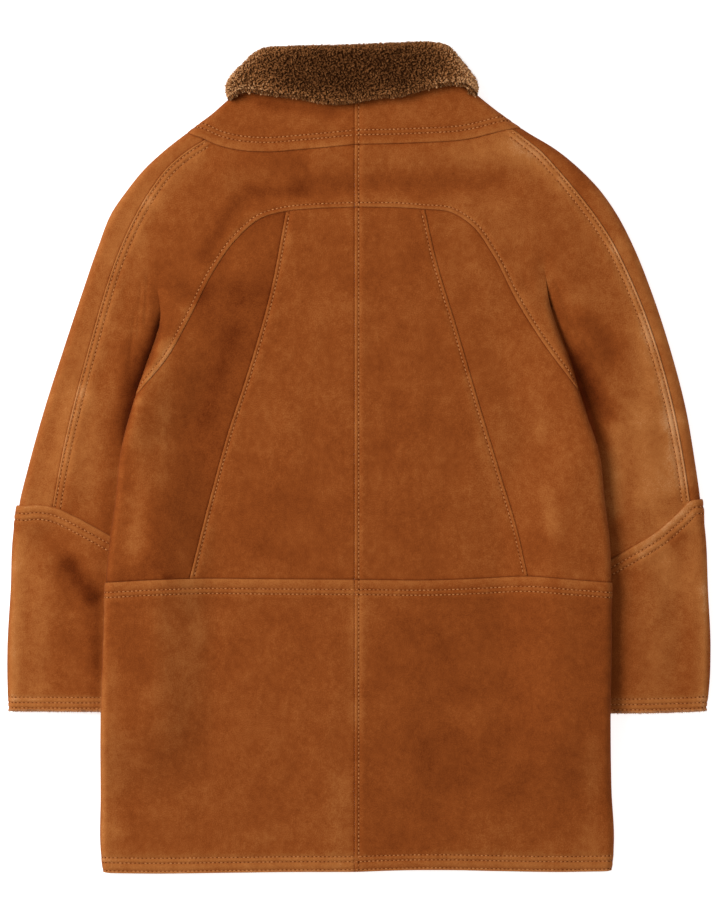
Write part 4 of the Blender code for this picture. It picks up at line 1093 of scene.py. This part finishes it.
def crease_opening(start_y):
    """How far a fold beside the armpit crease has turned down, 0 at its start to 1."""
    return lambda rim: smooth((start_y - rim[:, 1]) / CREASE_OPENING)**CREASE_EASE


class Side:
    """One half of the coat, with its folds, its seams and its pieces."""

    def __init__(self, name):
        self.name = name
        out = -1 if name == "L" else 1
        opening = crease_opening(CREASE[name][CREASE_START][1])
        self.outer = Fold(SLEEVE_OUTLINE[name], out)
        self.fore = Fold(FOREARM_OUTLINE[name], out)
        self.edge = Fold(CREASE[name] + BODY_EDGE[name], out, opening=opening)
        self.inner = Fold(CREASE[name] + SLEEVE_INNER[name], -out, opening=opening)
        self.cut_seams()

    def rise(self, points):
        """Height of the body over the sleeve that lies under its side."""
        y = points[:, 1]
        along = smooth((RISE_START_Y - y) / (RISE_START_Y - RISE_FULL_Y))
        along *= 1.0 - smooth((CUFF_END_Y - y) / CUFF_FADE)
        beyond = self.inner.locate(points)[1] - ROLL - RISE_PAST
        return RISE * along * (1.0 - smooth(beyond / RISE_SLOPE))

    def body_sink(self, points):
        return armpit(points, self.name, False)

    def sleeve_sink(self, points):
        return armpit(points, self.name, True)

    def cut_seams(self):
        name = self.name
        outer, edge, inner = self.outer, self.edge, self.inner
        self.neckline = seam(NECKLINE[name], end=outer, square=True)
        self.front_neck = seam(FRONT_NECK[name], end=outer, square=True)
        self.neck_edge = seam(NECK_EDGE[name], end=outer)
        self.arch = seam(ARCH[name], end=edge)
        self.waist = seam(WAIST[name], end=edge)
        self.hem = seam(HEM[name], end=edge)
        self.elbow = seam(ELBOW[name], start=outer, end=inner, square=True)
        fore_elbow = seam(ELBOW[name], start=self.fore, end=inner, square=True)
        self.fore_elbow = fore_elbow[:FOLD_ROWS + 1] + self.elbow[FOLD_ROWS:]
        self.cuff = seam(CUFF[name], start=self.fore, end=inner)
        self.slant = list(spline(SLANT[name], STEP))

        self.top_of_shoulder = nearest(self.neck_edge, SHOULDER[name][0])
        self.shoulder = list(outer.unroll(spline(SHOULDER[name], STEP)))
        self.shoulder[0] = self.neck_edge[self.top_of_shoulder]

        self.t_neck = outer.t_of(self.neckline[-1])
        self.t_yoke = outer.t_of(self.neck_edge[-1])
        self.t_elbow = outer.t_of(self.elbow[0])
        self.t_arch = edge.t_of(self.arch[-1])
        self.t_waist = edge.t_of(self.waist[-1])
        self.t_hem = edge.t_of(self.hem[-1])

        self.t_crease = edge.t_of(CREASE[name][CREASE_START])
        self.crease_point = edge.at(self.t_crease, 0.0)[0]
        top = edge.t_of(CREASE[name][0])
        edge.marks.append(self.t_crease)
        self.inner_crease = inner.t_of(self.crease_point)
        inner.marks.append(self.inner_crease)
        self.parting = edge.run(top + SEAM_GAP / 2, self.t_crease, 0.0)

        fine = edge.axis[edge.t <= self.t_crease]
        depth = outer.locate(fine)[1]
        i = int(np.argmax(depth < -STRIP_UNDER))
        self.t_under = outer.t_of(fine[i])
        outer.marks.append(self.t_under)
        self.under_start = outer.at(self.t_under, -STRIP_UNDER)[0]
        lower = edge.t_of(fine[i])
        self.under_parting = [self.under_start] + edge.run(lower + PARTING_START,
                                                           self.t_crease, 0.0)
        self.cut_tucked()

    def cut_tucked(self):
        """The top of the sleeve's lower end, which goes on under the forearm, and the seam
        between the two undersides."""
        outer, inner = self.outer, self.inner
        self.t_tuck = self.t_elbow + TUCK
        at_outer, flat, at_inner = (self.elbow[:FOLD_ROWS + 1],
                                    self.elbow[FOLD_ROWS + 1:-FOLD_ROWS - 1],
                                    self.elbow[-FOLD_ROWS - 1:])
        self.tucked = [outer.at(self.t_tuck, outer.s_of(p))[0] for p in at_outer]
        self.tucked += [p + (0.0, -TUCK) for p in flat]
        shift = inner.t_of(self.tucked[-1]) - inner.t_of(flat[-1])
        self.tucked += [inner.at(inner.t_of(p) + shift, inner.s_of(p))[0] for p in at_inner]

        under_end = outer.at(self.t_elbow, -STRIP_UNDER)[0]
        beyond = [p for p in self.elbow[FOLD_ROWS + 1:]
                  if outer.s_of(p) < -STRIP_UNDER - NEAR_AXIS]
        head = self.fore_elbow[:FOLD_ROWS + 1]
        head += [p for p in self.fore_elbow[FOLD_ROWS + 1:]
                 if -STRIP_UNDER + NEAR_AXIS < outer.s_of(p) < -NEAR_AXIS]
        self.under_elbow = head + [under_end] + beyond
        self.under_end = len(head)

    def back(self):
        """The pieces that lie on top."""
        name, junction = self.name, self.top_of_shoulder
        outer, edge, inner, fore = self.outer, self.edge, self.inner, self.fore
        body = Layer([edge], rise=self.rise, creased=True)
        neck, yoke, arch, waist, hem = (path[0][1] for path in (
            self.neckline, self.neck_edge, self.arch, self.waist, self.hem))

        def middle(first, last):
            """The seam down the centre, which only the right half shows stitched."""
            return centre(first, last), ("centre" if name == "R" else "under")

        side = middle(neck, yoke)
        outline = loop(self.neck_edge, outer.run(self.t_yoke, self.t_neck, outer.half_way),
                       self.neckline[::-1], side[0])
        piece("neck_yoke_" + name, [patch(outline, Layer([outer], creased=True),
                                          (self.neck_edge, "neck"), (self.neckline, "under"),
                                          side)])

        part = nearest(self.shoulder, CREASE[name][0])
        side = middle(arch, yoke)
        upper = loop(self.neck_edge[:junction + 1], self.shoulder[:part], self.parting,
                     edge.run(self.t_crease, self.t_arch, edge.half_way), self.arch[::-1],
                     side[0])
        corner = nearest(self.elbow, SHOULDER[name][-1])
        sleeve = loop(self.shoulder[part + 1:], self.tucked[corner:],
                      inner.run(inner.t_of(self.tucked[-1]), self.inner_crease,
                                inner.half_way),
                      self.parting[::-1])
        shoulder = (self.shoulder, "shoulder")
        piece("upper_back_" + name, [
            patch(upper, Layer([edge, outer], rise=self.rise, creased=True,
                               sink=self.body_sink),
                  (self.neck_edge, "under"), shoulder, (self.arch, "arch"), side,
                  fixed=self.parting),
            patch(sleeve, Layer([inner, outer], creased=True, sink=self.sleeve_sink),
                  shoulder, (self.elbow, "under"), fixed=self.parting)])

        top = nearest(self.arch, SLANT[name][0])
        foot = nearest(self.waist, SLANT[name][-1])
        side = middle(waist, arch)
        outline = loop(self.arch[:top + 1], self.slant, self.waist[foot::-1], side[0])
        piece("centre_back_" + name, [patch(
            outline, body, (self.arch[:top + 1], "under"), (self.slant, "slant"),
            (self.waist[:foot + 1], "under"), side)])
        outline = loop(self.arch[top:], edge.run(self.t_arch, self.t_waist, edge.half_way),
                       self.waist[:foot - 1:-1], self.slant[::-1])
        piece("side_back_" + name, [patch(
            outline, body, (self.arch[top:], "under"), (self.slant, "under"),
            (self.waist[foot:], "under"))])

        side = middle(hem, waist)
        outline = loop(self.waist, edge.run(self.t_waist, self.t_hem, edge.half_way),
                       self.hem[::-1], side[0])
        wool = fringe("wool_skirt_back_" + name, self.hem, body, outline, HEM_WOOL)
        piece("skirt_back_" + name, [patch(outline, body, (self.waist, "waist"),
                                           (self.hem, "hem"), side)])

        turn = outer.turn(self.t_yoke, 90, 180)
        outline = loop(self.neck_edge[junction:], turn,
                       outer.run(self.t_yoke, self.t_tuck, math.pi * ROLL + STRIP_UNDER),
                       outer.turn(self.t_tuck, 180, 90), self.tucked[:corner + 1],
                       self.shoulder[::-1])
        piece("sleeve_strip_" + name, [patch(
            outline, Layer([outer], creased=True), (self.neck_edge[junction:] + turn, "under"),
            (self.shoulder, "under"),
            (outer.turn(self.t_elbow, 180, 90) + self.elbow[:corner + 1], "under"))],
            "suede_strip")

        inner_rim = inner.run(inner.t_of(self.fore_elbow[-1]), inner.t_of(self.cuff[-1]),
                              inner.half_way)
        outer_rim = fore.run(fore.t_of(self.cuff[0]), fore.t_of(self.fore_elbow[0]),
                             fore.half_way)
        for label, elbow, up in (("forearm_back_", self.fore_elbow, True),
                                 ("forearm_under_", self.under_elbow, False)):
            outline = loop(elbow, inner_rim, self.cuff[::-1], outer_rim)
            layer = Layer([fore, inner], up=up, creased=up,
                          sink=self.sleeve_sink if up else None)
            wool = fringe("wool_" + label + name, self.cuff, layer, outline, CUFF_WOOL)
            piece(label + name, [patch(outline, layer, (elbow, "elbow"), (self.cuff, "cuff"))])

    def front(self):
        """The pieces that lie on the floor."""
        name = self.name
        outer, edge, inner = self.outer, self.edge, self.inner
        strip_seam = outer.run(self.t_yoke, self.t_under, -STRIP_UNDER)
        middle = centre(self.hem[0][1], self.front_neck[0][1])
        outline = loop(middle, self.front_neck,
                       outer.run(outer.t_of(self.front_neck[-1]), self.t_yoke, outer.half_way),
                       outer.turn(self.t_yoke, 90, 0), strip_seam, self.under_parting,
                       edge.run(self.t_crease, self.t_hem, edge.half_way), self.hem[::-1])
        layer = Layer([edge, outer], up=False, rise=self.rise)
        wool = fringe("wool_front_" + name, self.hem, layer, outline, HEM_WOOL)
        piece("front_" + name, [patch(outline, layer, (self.hem, "hem"), (middle, "plain"),
                                      (strip_seam, "under"), (self.front_neck, "plain"))])

        sleeve_strip = outer.run(self.t_under, self.t_elbow, -STRIP_UNDER)
        elbow = self.under_elbow[self.under_end:]
        outline = loop(sleeve_strip, elbow,
                       inner.run(inner.t_of(elbow[-1]), self.inner_crease, inner.half_way),
                       self.under_parting[::-1])
        piece("sleeve_under_" + name, [patch(outline, Layer([inner], up=False),
                                             (sleeve_strip, "under"), (elbow, "under"))])


# ---------------------------------------------------------------- wool and fur

LOCK = ([(0.0, 0.75), (0.5, 1.0), (0.86, 0.72)], 5)    # rings as share and width, and sides
HAIR = ([(0.0, 1.0), (0.6, 0.7)], 3)

# Wool and fur out of an edge: pitch, length, radius, how far inside it starts, and depths
CUFF_WOOL = (1.1, 3.6, 0.5, 2.6, (0.02, 0.3, 0.6, 0.85))
HEM_WOOL = (1.4, 1.9, 0.42, 1.7, (0.25, 0.6))
EDGE_FUR = (2.0, 4.0, 0.9, 2.6, (0.0, 0.2, 0.42, 0.64, 0.86))
EDGE_FUR_TONE = 0.45

# What each lock's length and width are multiplied by, the share of its length that it bends,
# and how near to the floor it comes
FUR_LENGTHS = (0.8, 1.15)
FUR_WIDTHS = (0.72, 1.25)
FUR_CURL = 0.3
FUR_LOWEST = 0.25
WOOL_SIZES = (0.7, 1.2)
WOOL_CURL = 0.2
WOOL_LOWEST = 0.15

FUR_PITCH = 2.3
ROW_PITCH = 0.87           # of the rows, for locks that are evenly apart
FUR_SUNK = 4.2             # the collar's skin lies this far below the fur's outline
FUR_LENGTH = 4.6
FUR_RADIUS = 0.95
FRONT_SUNK = 2.6
STAND_SUNK = 1.5
# Where the fur is shorter, at the upper right corner, and longer, at the left end
THINNER = ((117.0, 434.0, 13.5, 1.9), (-144.0, 408.0, 8.0, -1.9))
FUZZ_PITCH = 0.9
FUZZ_ROWS = 3
FUZZ_LENGTH = 3.4
FUZZ_RADIUS = 0.32
FUZZ_SUNK = 2.0
# the fuzz on the roll's rim is lighter: painted light where its tips catch the light
FUZZ_PAINTED_LIGHT = 1.3


def tuft_mesh(name, base, ahead, up, length, radius, curl, material, shade, shape,
              floor):
    """Short curved locks, as one mesh: each from a base along ahead, bent towards up."""
    rings, sides = shape
    across = unit(np.cross(ahead, up), 1e-6)
    lift = np.cross(across, ahead)
    per = len(rings) * sides + 1
    verts, tip = np.zeros((len(base), per, 3)), np.ones((len(base), per))

    def middle(share):
        return (base + ahead * (length * share)[:, None]
                + lift * (length * curl * share * share)[:, None])

    for r, (share, wide) in enumerate(rings):
        for k in range(sides):
            a = 2 * math.pi * (k + 0.5) / sides
            turned = across * math.cos(a) + lift * math.sin(a)
            verts[:, r * sides + k] = middle(share) + turned * (radius * wide)[:, None]
        tip[:, r * sides:(r + 1) * sides] = share
    verts[:, -1] = middle(1.0)
    verts[:, :, 2] = np.maximum(verts[:, :, 2], floor)
    top = (len(rings) - 1) * sides
    one = ring_faces(len(rings), sides)
    one += [(top + k, top + (k + 1) % sides, per - 1) for k in range(sides)]
    faces = [tuple(v + i * per for v in face) for i in range(len(base)) for face in one]
    return add_mesh(name, verts.reshape(-1, 3), faces, [material],
                    {"tip": tip.ravel(), "shade": np.repeat(shade, per)}, angle=80)


def scattered(outline, pitch, jitter=0.36):
    """Evenly jittered points in an outline."""
    low, high = outline.min(0), outline.max(0)
    grid = staggered(np.arange(low[0], high[0], pitch),
                     np.arange(low[1], high[1], pitch * ROW_PITCH), pitch)
    grid = grid + rng.uniform(-jitter, jitter, grid.shape) * pitch
    return grid[inside(outline, grid)]


def thinner(points):
    """How much shorter the fur is."""
    total = np.zeros(len(points))
    for x, y, size, amount in THINNER:
        away = (points - (x, y)) / size
        total += amount * np.exp(-(away * away).sum(1))
    return total


def fur(name, at, layer, sunk, length, radius, lean, shade=0.0, shape=LOCK):
    """Fur at places on a piece: locks that stand up from its skin and lean about."""
    n = len(at)
    lift = np.full(n, -sunk) - thinner(at)
    here = layer.lay(at, 0.0, lift)
    east = layer.slope(at, (0.5, 0.0), 0.0, lift)
    up = layer.outward(east, layer.slope(at, (0.0, 0.5), 0.0, lift))
    east = unit(east)
    north = np.cross(up, east)
    swirl = 1.3 * np.sin(at[:, 0] / 9.0 + 2.0 * np.sin(at[:, 1] / 13.0))
    turn = swirl + rng.normal(0, 1.2, n) - math.pi / 2
    side = east * np.cos(turn)[:, None] + north * np.sin(turn)[:, None]
    ahead = unit(up + side * rng.uniform(*lean, n)[:, None])
    return tuft_mesh(name, here, ahead, side, length * rng.uniform(*FUR_LENGTHS, n),
                     radius * rng.uniform(*FUR_WIDTHS, n), FUR_CURL, "fur",
                     shade + rng.normal(0, 0.22, n), shape, FUR_LOWEST)


def along_edge(line, outline, pitch, back):
    """Jittered places a little inside an edge, and the directions out of it."""
    line = np.array(line)
    across = normals(line, 1)
    middle = len(line) // 2
    if inside(outline, (line[middle] + across[middle] * 1.5)[None])[0]:
        across = -across
    t = lengths_along(line)
    where = np.arange(0.3, t[-1] - 0.3, pitch)
    where = where + rng.uniform(-0.4, 0.4, len(where)) * pitch
    out = interpolated(where, t, across)
    return interpolated(where, t, line) - out * back, out


def fringe(name, line, layer, outline, sizes, material="wool_lock", shape=HAIR,
           tone=0.0):
    """Locks that point out of an edge, over its whole thickness."""
    pitch, length, radius, back, depths = sizes
    parts = []
    for depth in depths:
        at, out = along_edge(line, outline, pitch, back)
        none = np.zeros(len(at))
        raised = 0.30 - 0.45 * depth if layer.up else 0.45 * depth - 0.2
        ahead = unit(layer.slope(at, out * 0.5, depth, none)) + (0.0, 0.0, raised)
        ahead = ahead + rng.normal(0, 0.22, ahead.shape)
        parts.append((layer.lay(at, depth, none), unit(ahead)))
    base, ahead = (np.vstack(column) for column in zip(*parts))
    n = len(base)
    up = np.tile((0.0, 0.0, 1.0), (n, 1)) + rng.normal(0, 0.3, (n, 3))
    return tuft_mesh(name, base, ahead, up, length * rng.uniform(*WOOL_SIZES, n),
                     radius * rng.uniform(*WOOL_SIZES, n), WOOL_CURL, material,
                     tone + rng.normal(0, 0.4, n), shape, WOOL_LOWEST)


def collar_shade(points):
    """The collar's fur is lighter at both ends and along its edges: painted light where it rounds
    away at its ends and where its tips catch the light at its rims.
    """
    x = points[:, 0]
    ends = smooth((-x - 35.0) / 115.0) * 0.85 + smooth((x - 50.0) / 85.0) * 1.25
    lower = bell(distance_to(np.array(FALL_EDGE), points), 0.9, 8.5)
    upper = bell(distance_to(np.array(COLLAR_OUTLINE), points), 0.5, 8.0)
    return ends + lower + upper


def collar(sides):
    """The fur collar: its fall and fold on top, its stand under that, its fronts below."""
    fold = Fold(COLLAR_OUTLINE, 1, COLLAR_ROLL)
    ends = {name: fold.t_of(STAND_START[name]) for name in "LR"}
    fold.marks += ends.values()
    edge = seam(FALL_EDGE, start=fold, end=fold)
    left, right = fold.t_of(edge[0]), fold.t_of(edge[-1])
    outline = loop(edge, fold.turn(right, 90, COLLAR_TURN),
                   fold.run(right, left, math.radians(COLLAR_TURN) * COLLAR_ROLL),
                   fold.turn(left, COLLAR_TURN, 90))
    fall = Layer([fold], base=COLLAR_BASE, stack=COLLAR_STACK, wall=COLLAR_WALL)

    def fall_fur(kind, at, tone, *sizes):
        return fur(f"fur_{kind}collar_fall", at, fall, *sizes[:4], tone + collar_shade(at),
                   *sizes[4:])

    locks = fall_fur("", scattered(outline, FUR_PITCH), 0.0, FUR_SUNK, FUR_LENGTH, FUR_RADIUS,
                     (0.15, 0.6))
    thin = fall_fur("thin_", scattered(outline, FUR_PITCH, 0.5), 0.1, FUR_SUNK,
                    FUR_LENGTH * 0.85, FUR_RADIUS * 0.55, (0.2, 0.9), HAIR)
    rolled = fringe("fur_edge_collar_fall", edge, fall, outline, EDGE_FUR, "fur", LOCK,
                    EDGE_FUR_TONE)
    t = np.arange(min(left, right), max(left, right), FUZZ_PITCH)
    at = np.vstack([fold.at(t + rng.uniform(-0.4, 0.4, len(t)),
                            COLLAR_ROLL * math.pi / 2 + rng.uniform(-4.0, 4.0, len(t)))
                    for _ in range(FUZZ_ROWS)])
    fuzz = fall_fur("fuzz_", at, FUZZ_PAINTED_LIGHT, FUZZ_SUNK, FUZZ_LENGTH, FUZZ_RADIUS, (0.1, 0.7),
                    HAIR)
    piece("collar_fall", [patch(outline, fall)], "skin", collar_shade,
          FUR_SUNK)

    def flat_part(side, neck):
        """The part of a neckline that lies inside the shoulder's fold."""
        return [p for p in neck if side.outer.s_of(p) < ON_AXIS]

    flat = {name: flat_part(side, side.neckline) for name, side in sides.items()}
    outline = loop(fold.run(ends["L"], ends["R"], 0.0), flat["R"][::-1], flat["L"])
    stand = Layer(up=False, base=COLLAR_BASE, wall=COLLAR_WALL)
    piece("collar_stand", [patch(outline, stand)], "skin", sunk=STAND_SUNK)

    low_fold = Fold(COLLAR_OUTLINE, 1)
    middle = low_fold.t_of((CENTRE_X, 460.0))
    low_fold.marks.append(middle)
    front = Layer([low_fold], up=False, wall=COLLAR_FRONT_WALL)
    for name, side in sides.items():
        start = low_fold.t_of(COLLAR_FRONT_START[name])
        outline = loop(low_fold.turn(start, 0, 90),
                       low_fold.run(start, middle, low_fold.half_way),
                       low_fold.turn(middle, 90, 0), flat_part(side, side.front_neck),
                       [np.array(COLLAR_CORNER[name])])
        locks = fur("fur_collar_front_" + name, scattered(outline, FUR_PITCH), front,
                    FRONT_SUNK, FUR_LENGTH, FUR_RADIUS * 1.2, (0.2, 0.7))
        piece("collar_front_" + name, [patch(outline, front)], "skin",
              sunk=FRONT_SUNK)


# ---------------------------------------------------------------- materials

def set_inputs(made, **values):
    """Numbers and colours on a node's inputs, with _ for the spaces in their names."""
    for name, value in values.items():
        made.inputs[name.replace("_", " ")].default_value = value


def math_node(tree, operation, first, second):
    made = tree.nodes.new("ShaderNodeMath")
    made.operation = operation
    for socket, value in zip(made.inputs, (first, second)):
        if isinstance(value, (int, float)):
            socket.default_value = value
        else:
            tree.links.new(value, socket)
    return made.outputs[0]


def attribute(tree, name):
    made = tree.nodes.new("ShaderNodeAttribute")
    made.attribute_name = name
    return made.outputs["Fac"]


def noise(tree, where, scale, detail, roughness, stretch=None):
    """Noise about 0."""
    made = tree.nodes.new("ShaderNodeTexNoise")
    set_inputs(made, Scale=scale, Detail=detail, Roughness=roughness)
    if stretch:
        mapping = tree.nodes.new("ShaderNodeMapping")
        set_inputs(mapping, Scale=stretch)
        tree.links.new(where, mapping.inputs["Vector"])
        where = mapping.outputs["Vector"]
    tree.links.new(where, made.inputs["Vector"])
    return math_node(tree, "SUBTRACT", made.outputs["Fac"], 0.5)


def ramp(tree, value, stops):
    made = tree.nodes.new("ShaderNodeValToRGB")
    elements = made.color_ramp.elements
    while len(elements) < len(stops):
        elements.new(0.5)
    for element, (position, colour) in zip(elements, stops):
        element.position = position
        element.color = (*colour, 1.0)
    tree.links.new(value, made.inputs["Fac"])
    return made.outputs["Color"]


def bump(tree, height, distance, strength, normal):
    made = tree.nodes.new("ShaderNodeBump")
    set_inputs(made, Distance=distance, Strength=strength)
    tree.links.new(height, made.inputs["Height"])
    if normal:
        tree.links.new(normal, made.inputs["Normal"])
    return made.outputs["Normal"]


def cloth_material(name, terms, stops, bumps, roughness=0.9, sheen=0.0, tint=(1, 1, 1),
                   specular=0.1, middle=0.5):
    """A matt material: a value, the sum of terms about its middle, coloured by a ramp. Each
    term is an attribute's name or the sizes of a noise, with a weight."""
    made = bpy.data.materials.new(name)
    made.use_nodes = True
    tree = made.node_tree
    shader = tree.nodes["Principled BSDF"]
    where = tree.nodes.new("ShaderNodeTexCoord").outputs["Object"]
    sockets = [(attribute(tree, source) if isinstance(source, str)
                else noise(tree, where, *source), weight) for source, weight in terms]
    value = None
    for socket, weight in sockets:
        term = math_node(tree, "MULTIPLY", socket, weight)
        value = term if value is None else math_node(tree, "ADD", value, term)
    value = math_node(tree, "ADD", value, middle)
    tree.links.new(ramp(tree, value, stops), shader.inputs["Base Color"])
    normal = None
    for source, distance, strength in bumps:
        normal = bump(tree, noise(tree, where, *source), distance, strength, normal)
    if normal:
        tree.links.new(normal, shader.inputs["Normal"])
    set_inputs(shader, Roughness=roughness, Specular_IOR_Level=specular, Sheen_Weight=sheen,
               Sheen_Roughness=0.5, Sheen_Tint=(*tint, 1.0))
    return made


SUEDE_STOPS = [
    (0.00, (0.055, 0.009, 0.0012)),
    (0.25, (0.138, 0.026, 0.0035)),
    (0.50, (0.261, 0.061, 0.0102)),
    (0.75, (0.418, 0.141, 0.034)),
    (1.00, (0.620, 0.295, 0.125)),
]
FUR_STOPS = [
    (0.00, (0.010, 0.0025, 0.0003)),
    (0.30, (0.038, 0.010, 0.0015)),
    (0.60, (0.130, 0.046, 0.0135)),
    (0.85, (0.315, 0.126, 0.040)),
    (1.00, (0.560, 0.295, 0.130)),
]
WOOL_STOPS = [
    (0.00, (0.100, 0.040, 0.015)),
    (0.50, (0.400, 0.185, 0.088)),
    (1.00, (0.560, 0.320, 0.170)),
]
THREAD_STOPS = [
    (0.00, (0.110, 0.020, 0.0016)),
    (0.15, (0.140, 0.027, 0.0026)),
    (0.40, (0.430, 0.150, 0.044)),
    (0.60, (0.540, 0.215, 0.070)),
    (1.00, (0.640, 0.300, 0.115)),
]

# Noises as scale, detail, roughness and, where it has one, stretch
NAP = (900.0, 2.0, 0.6)
MOTTLE = (150.0, 3.0, 0.6, (1.0, 0.8, 1.0))
BLOTCH = (38.0, 3.0, 0.55)
CLOUD = (11.0, 2.0, 0.5)
PILE = (420.0, 3.0, 0.6)
CURL = (500.0, 3.0, 0.6)

# The suede's colour: its own tone with painted light and shade, wear with painted highlight,
# painted shade, and noises for its nap and blotches
SUEDE = ([("tone", 1.0), ("wear_and_highlight", 0.12), ("shade", -0.13), (NAP, 0.42), (MOTTLE, 0.22),
          (BLOTCH, 0.20), (CLOUD, 0.16)],
         SUEDE_STOPS, [(NAP, 0.0004, 0.5), (MOTTLE, 0.0007, 0.45), (BLOTCH, 0.0015, 0.5)],
         0.92, 0.03, (1.0, 0.72, 0.5), 0.05)
MATERIALS = {
    "suede": cloth_material("suede_nap", *SUEDE),
    "suede_strip": cloth_material("suede_strip_nap", *SUEDE),
    "wool": cloth_material("wool_pile", [(PILE, 0.9), ((90.0, 2.0, 0.5), 0.5)], WOOL_STOPS,
                           [(PILE, 0.0022, 0.9)], 0.95, 0.05),
    "wool_lock": cloth_material("wool_locks", [("tip", 0.35), ("shade", 0.2),
                                               ((300.0, 2.0, 0.5), 0.3)],
                                WOOL_STOPS, [], 0.95, 0.05, middle=0.3),
    "skin": cloth_material("fur_skin", [("tone", 0.32), (CURL, 0.4)], FUR_STOPS,
                           [(CURL, 0.002, 0.9)], 0.95, middle=0.42),
    "fur": cloth_material("collar_fur", [("tip", 0.32), ("shade", 0.26),
                                         ((700.0, 2.0, 0.5), 0.25), ((40.0, 2.0, 0.5), 0.12)],
                          FUR_STOPS, [], 0.9, 0.0, (1.0, 0.7, 0.4), 0.03, middle=0.33),
    "thread": cloth_material("thread", [("shade", 0.15), ((1500.0, 1.0, 0.5), 0.3)],
                             THREAD_STOPS, [((2500.0, 1.0, 0.5), 0.0003, 0.5)],
                             specular=0.05),
}


# ---------------------------------------------------------------- the coat

sides = {name: Side(name) for name in "LR"}
for one in sides.values():
    one.back()
    one.front()
collar(sides)


# ---------------------------------------------------------------- room, light and camera

FLOOR = 6.0                # metres, from the middle to each side
FLOOR_Z = -0.0006
DISTANCE = 4.0             # metres, from the camera to the coat
FRAME_HEIGHT = 1.0098      # metres across the longer side of the picture, at that distance
PHOTO_MIDDLE = (0.00165, -0.00165)
COAT_TOP = 0.018

scene = bpy.context.scene


def placed(name, data, where=(0.0, 0.0, 0.0)):
    """An object in the scene."""
    thing = bpy.data.objects.new(name, data)
    thing.location = where
    scene.collection.objects.link(thing)
    return thing


def area_light(name, where, size, watts):
    """A round lamp that looks at the coat."""
    data = bpy.data.lights.new(name, "AREA")
    data.shape = "DISK"
    data.size = size
    data.energy = watts
    lamp = placed(name, data, where)
    lamp.rotation_mode = "QUATERNION"
    lamp.rotation_quaternion = (-Vector(where)).to_track_quat("-Z", "Y")


paper = bpy.data.materials.new("floor")
paper.use_nodes = True
set_inputs(paper.node_tree.nodes["Principled BSDF"], Base_Color=(0.80, 0.80, 0.80, 1.0),
           Roughness=1.0, Specular_IOR_Level=0.0, Emission_Color=(1.0, 1.0, 1.0, 1.0),
           Emission_Strength=0.75)
floor_mesh = bpy.data.meshes.new("floor")
floor_mesh.from_pydata([(x * FLOOR, y * FLOOR, FLOOR_Z) for x, y in
                        ((-1, -1), (1, -1), (1, 1), (-1, 1))], [], [(0, 1, 2, 3)])
floor_mesh.materials.append(paper)
placed("floor", floor_mesh)

world = bpy.data.worlds.new("studio")
world.use_nodes = True
set_inputs(world.node_tree.nodes["Background"], Color=(1.0, 1.0, 1.0, 1.0), Strength=0.33)
scene.world = world
scene.view_settings.view_transform = "Standard"

area_light("key", (-2.1, 0.9, 2.5), 1.8, 101.5)
area_light("fill", (1.6, -1.2, 2.8), 2.5, 10.0)

camera_data = bpy.data.cameras.new("camera")
camera_data.sensor_width = 36.0
camera_data.lens = camera_data.sensor_width * DISTANCE / FRAME_HEIGHT
camera_data.clip_end = 50.0
scene.camera = placed("camera", camera_data, (*PHOTO_MIDDLE, DISTANCE + COAT_TOP))
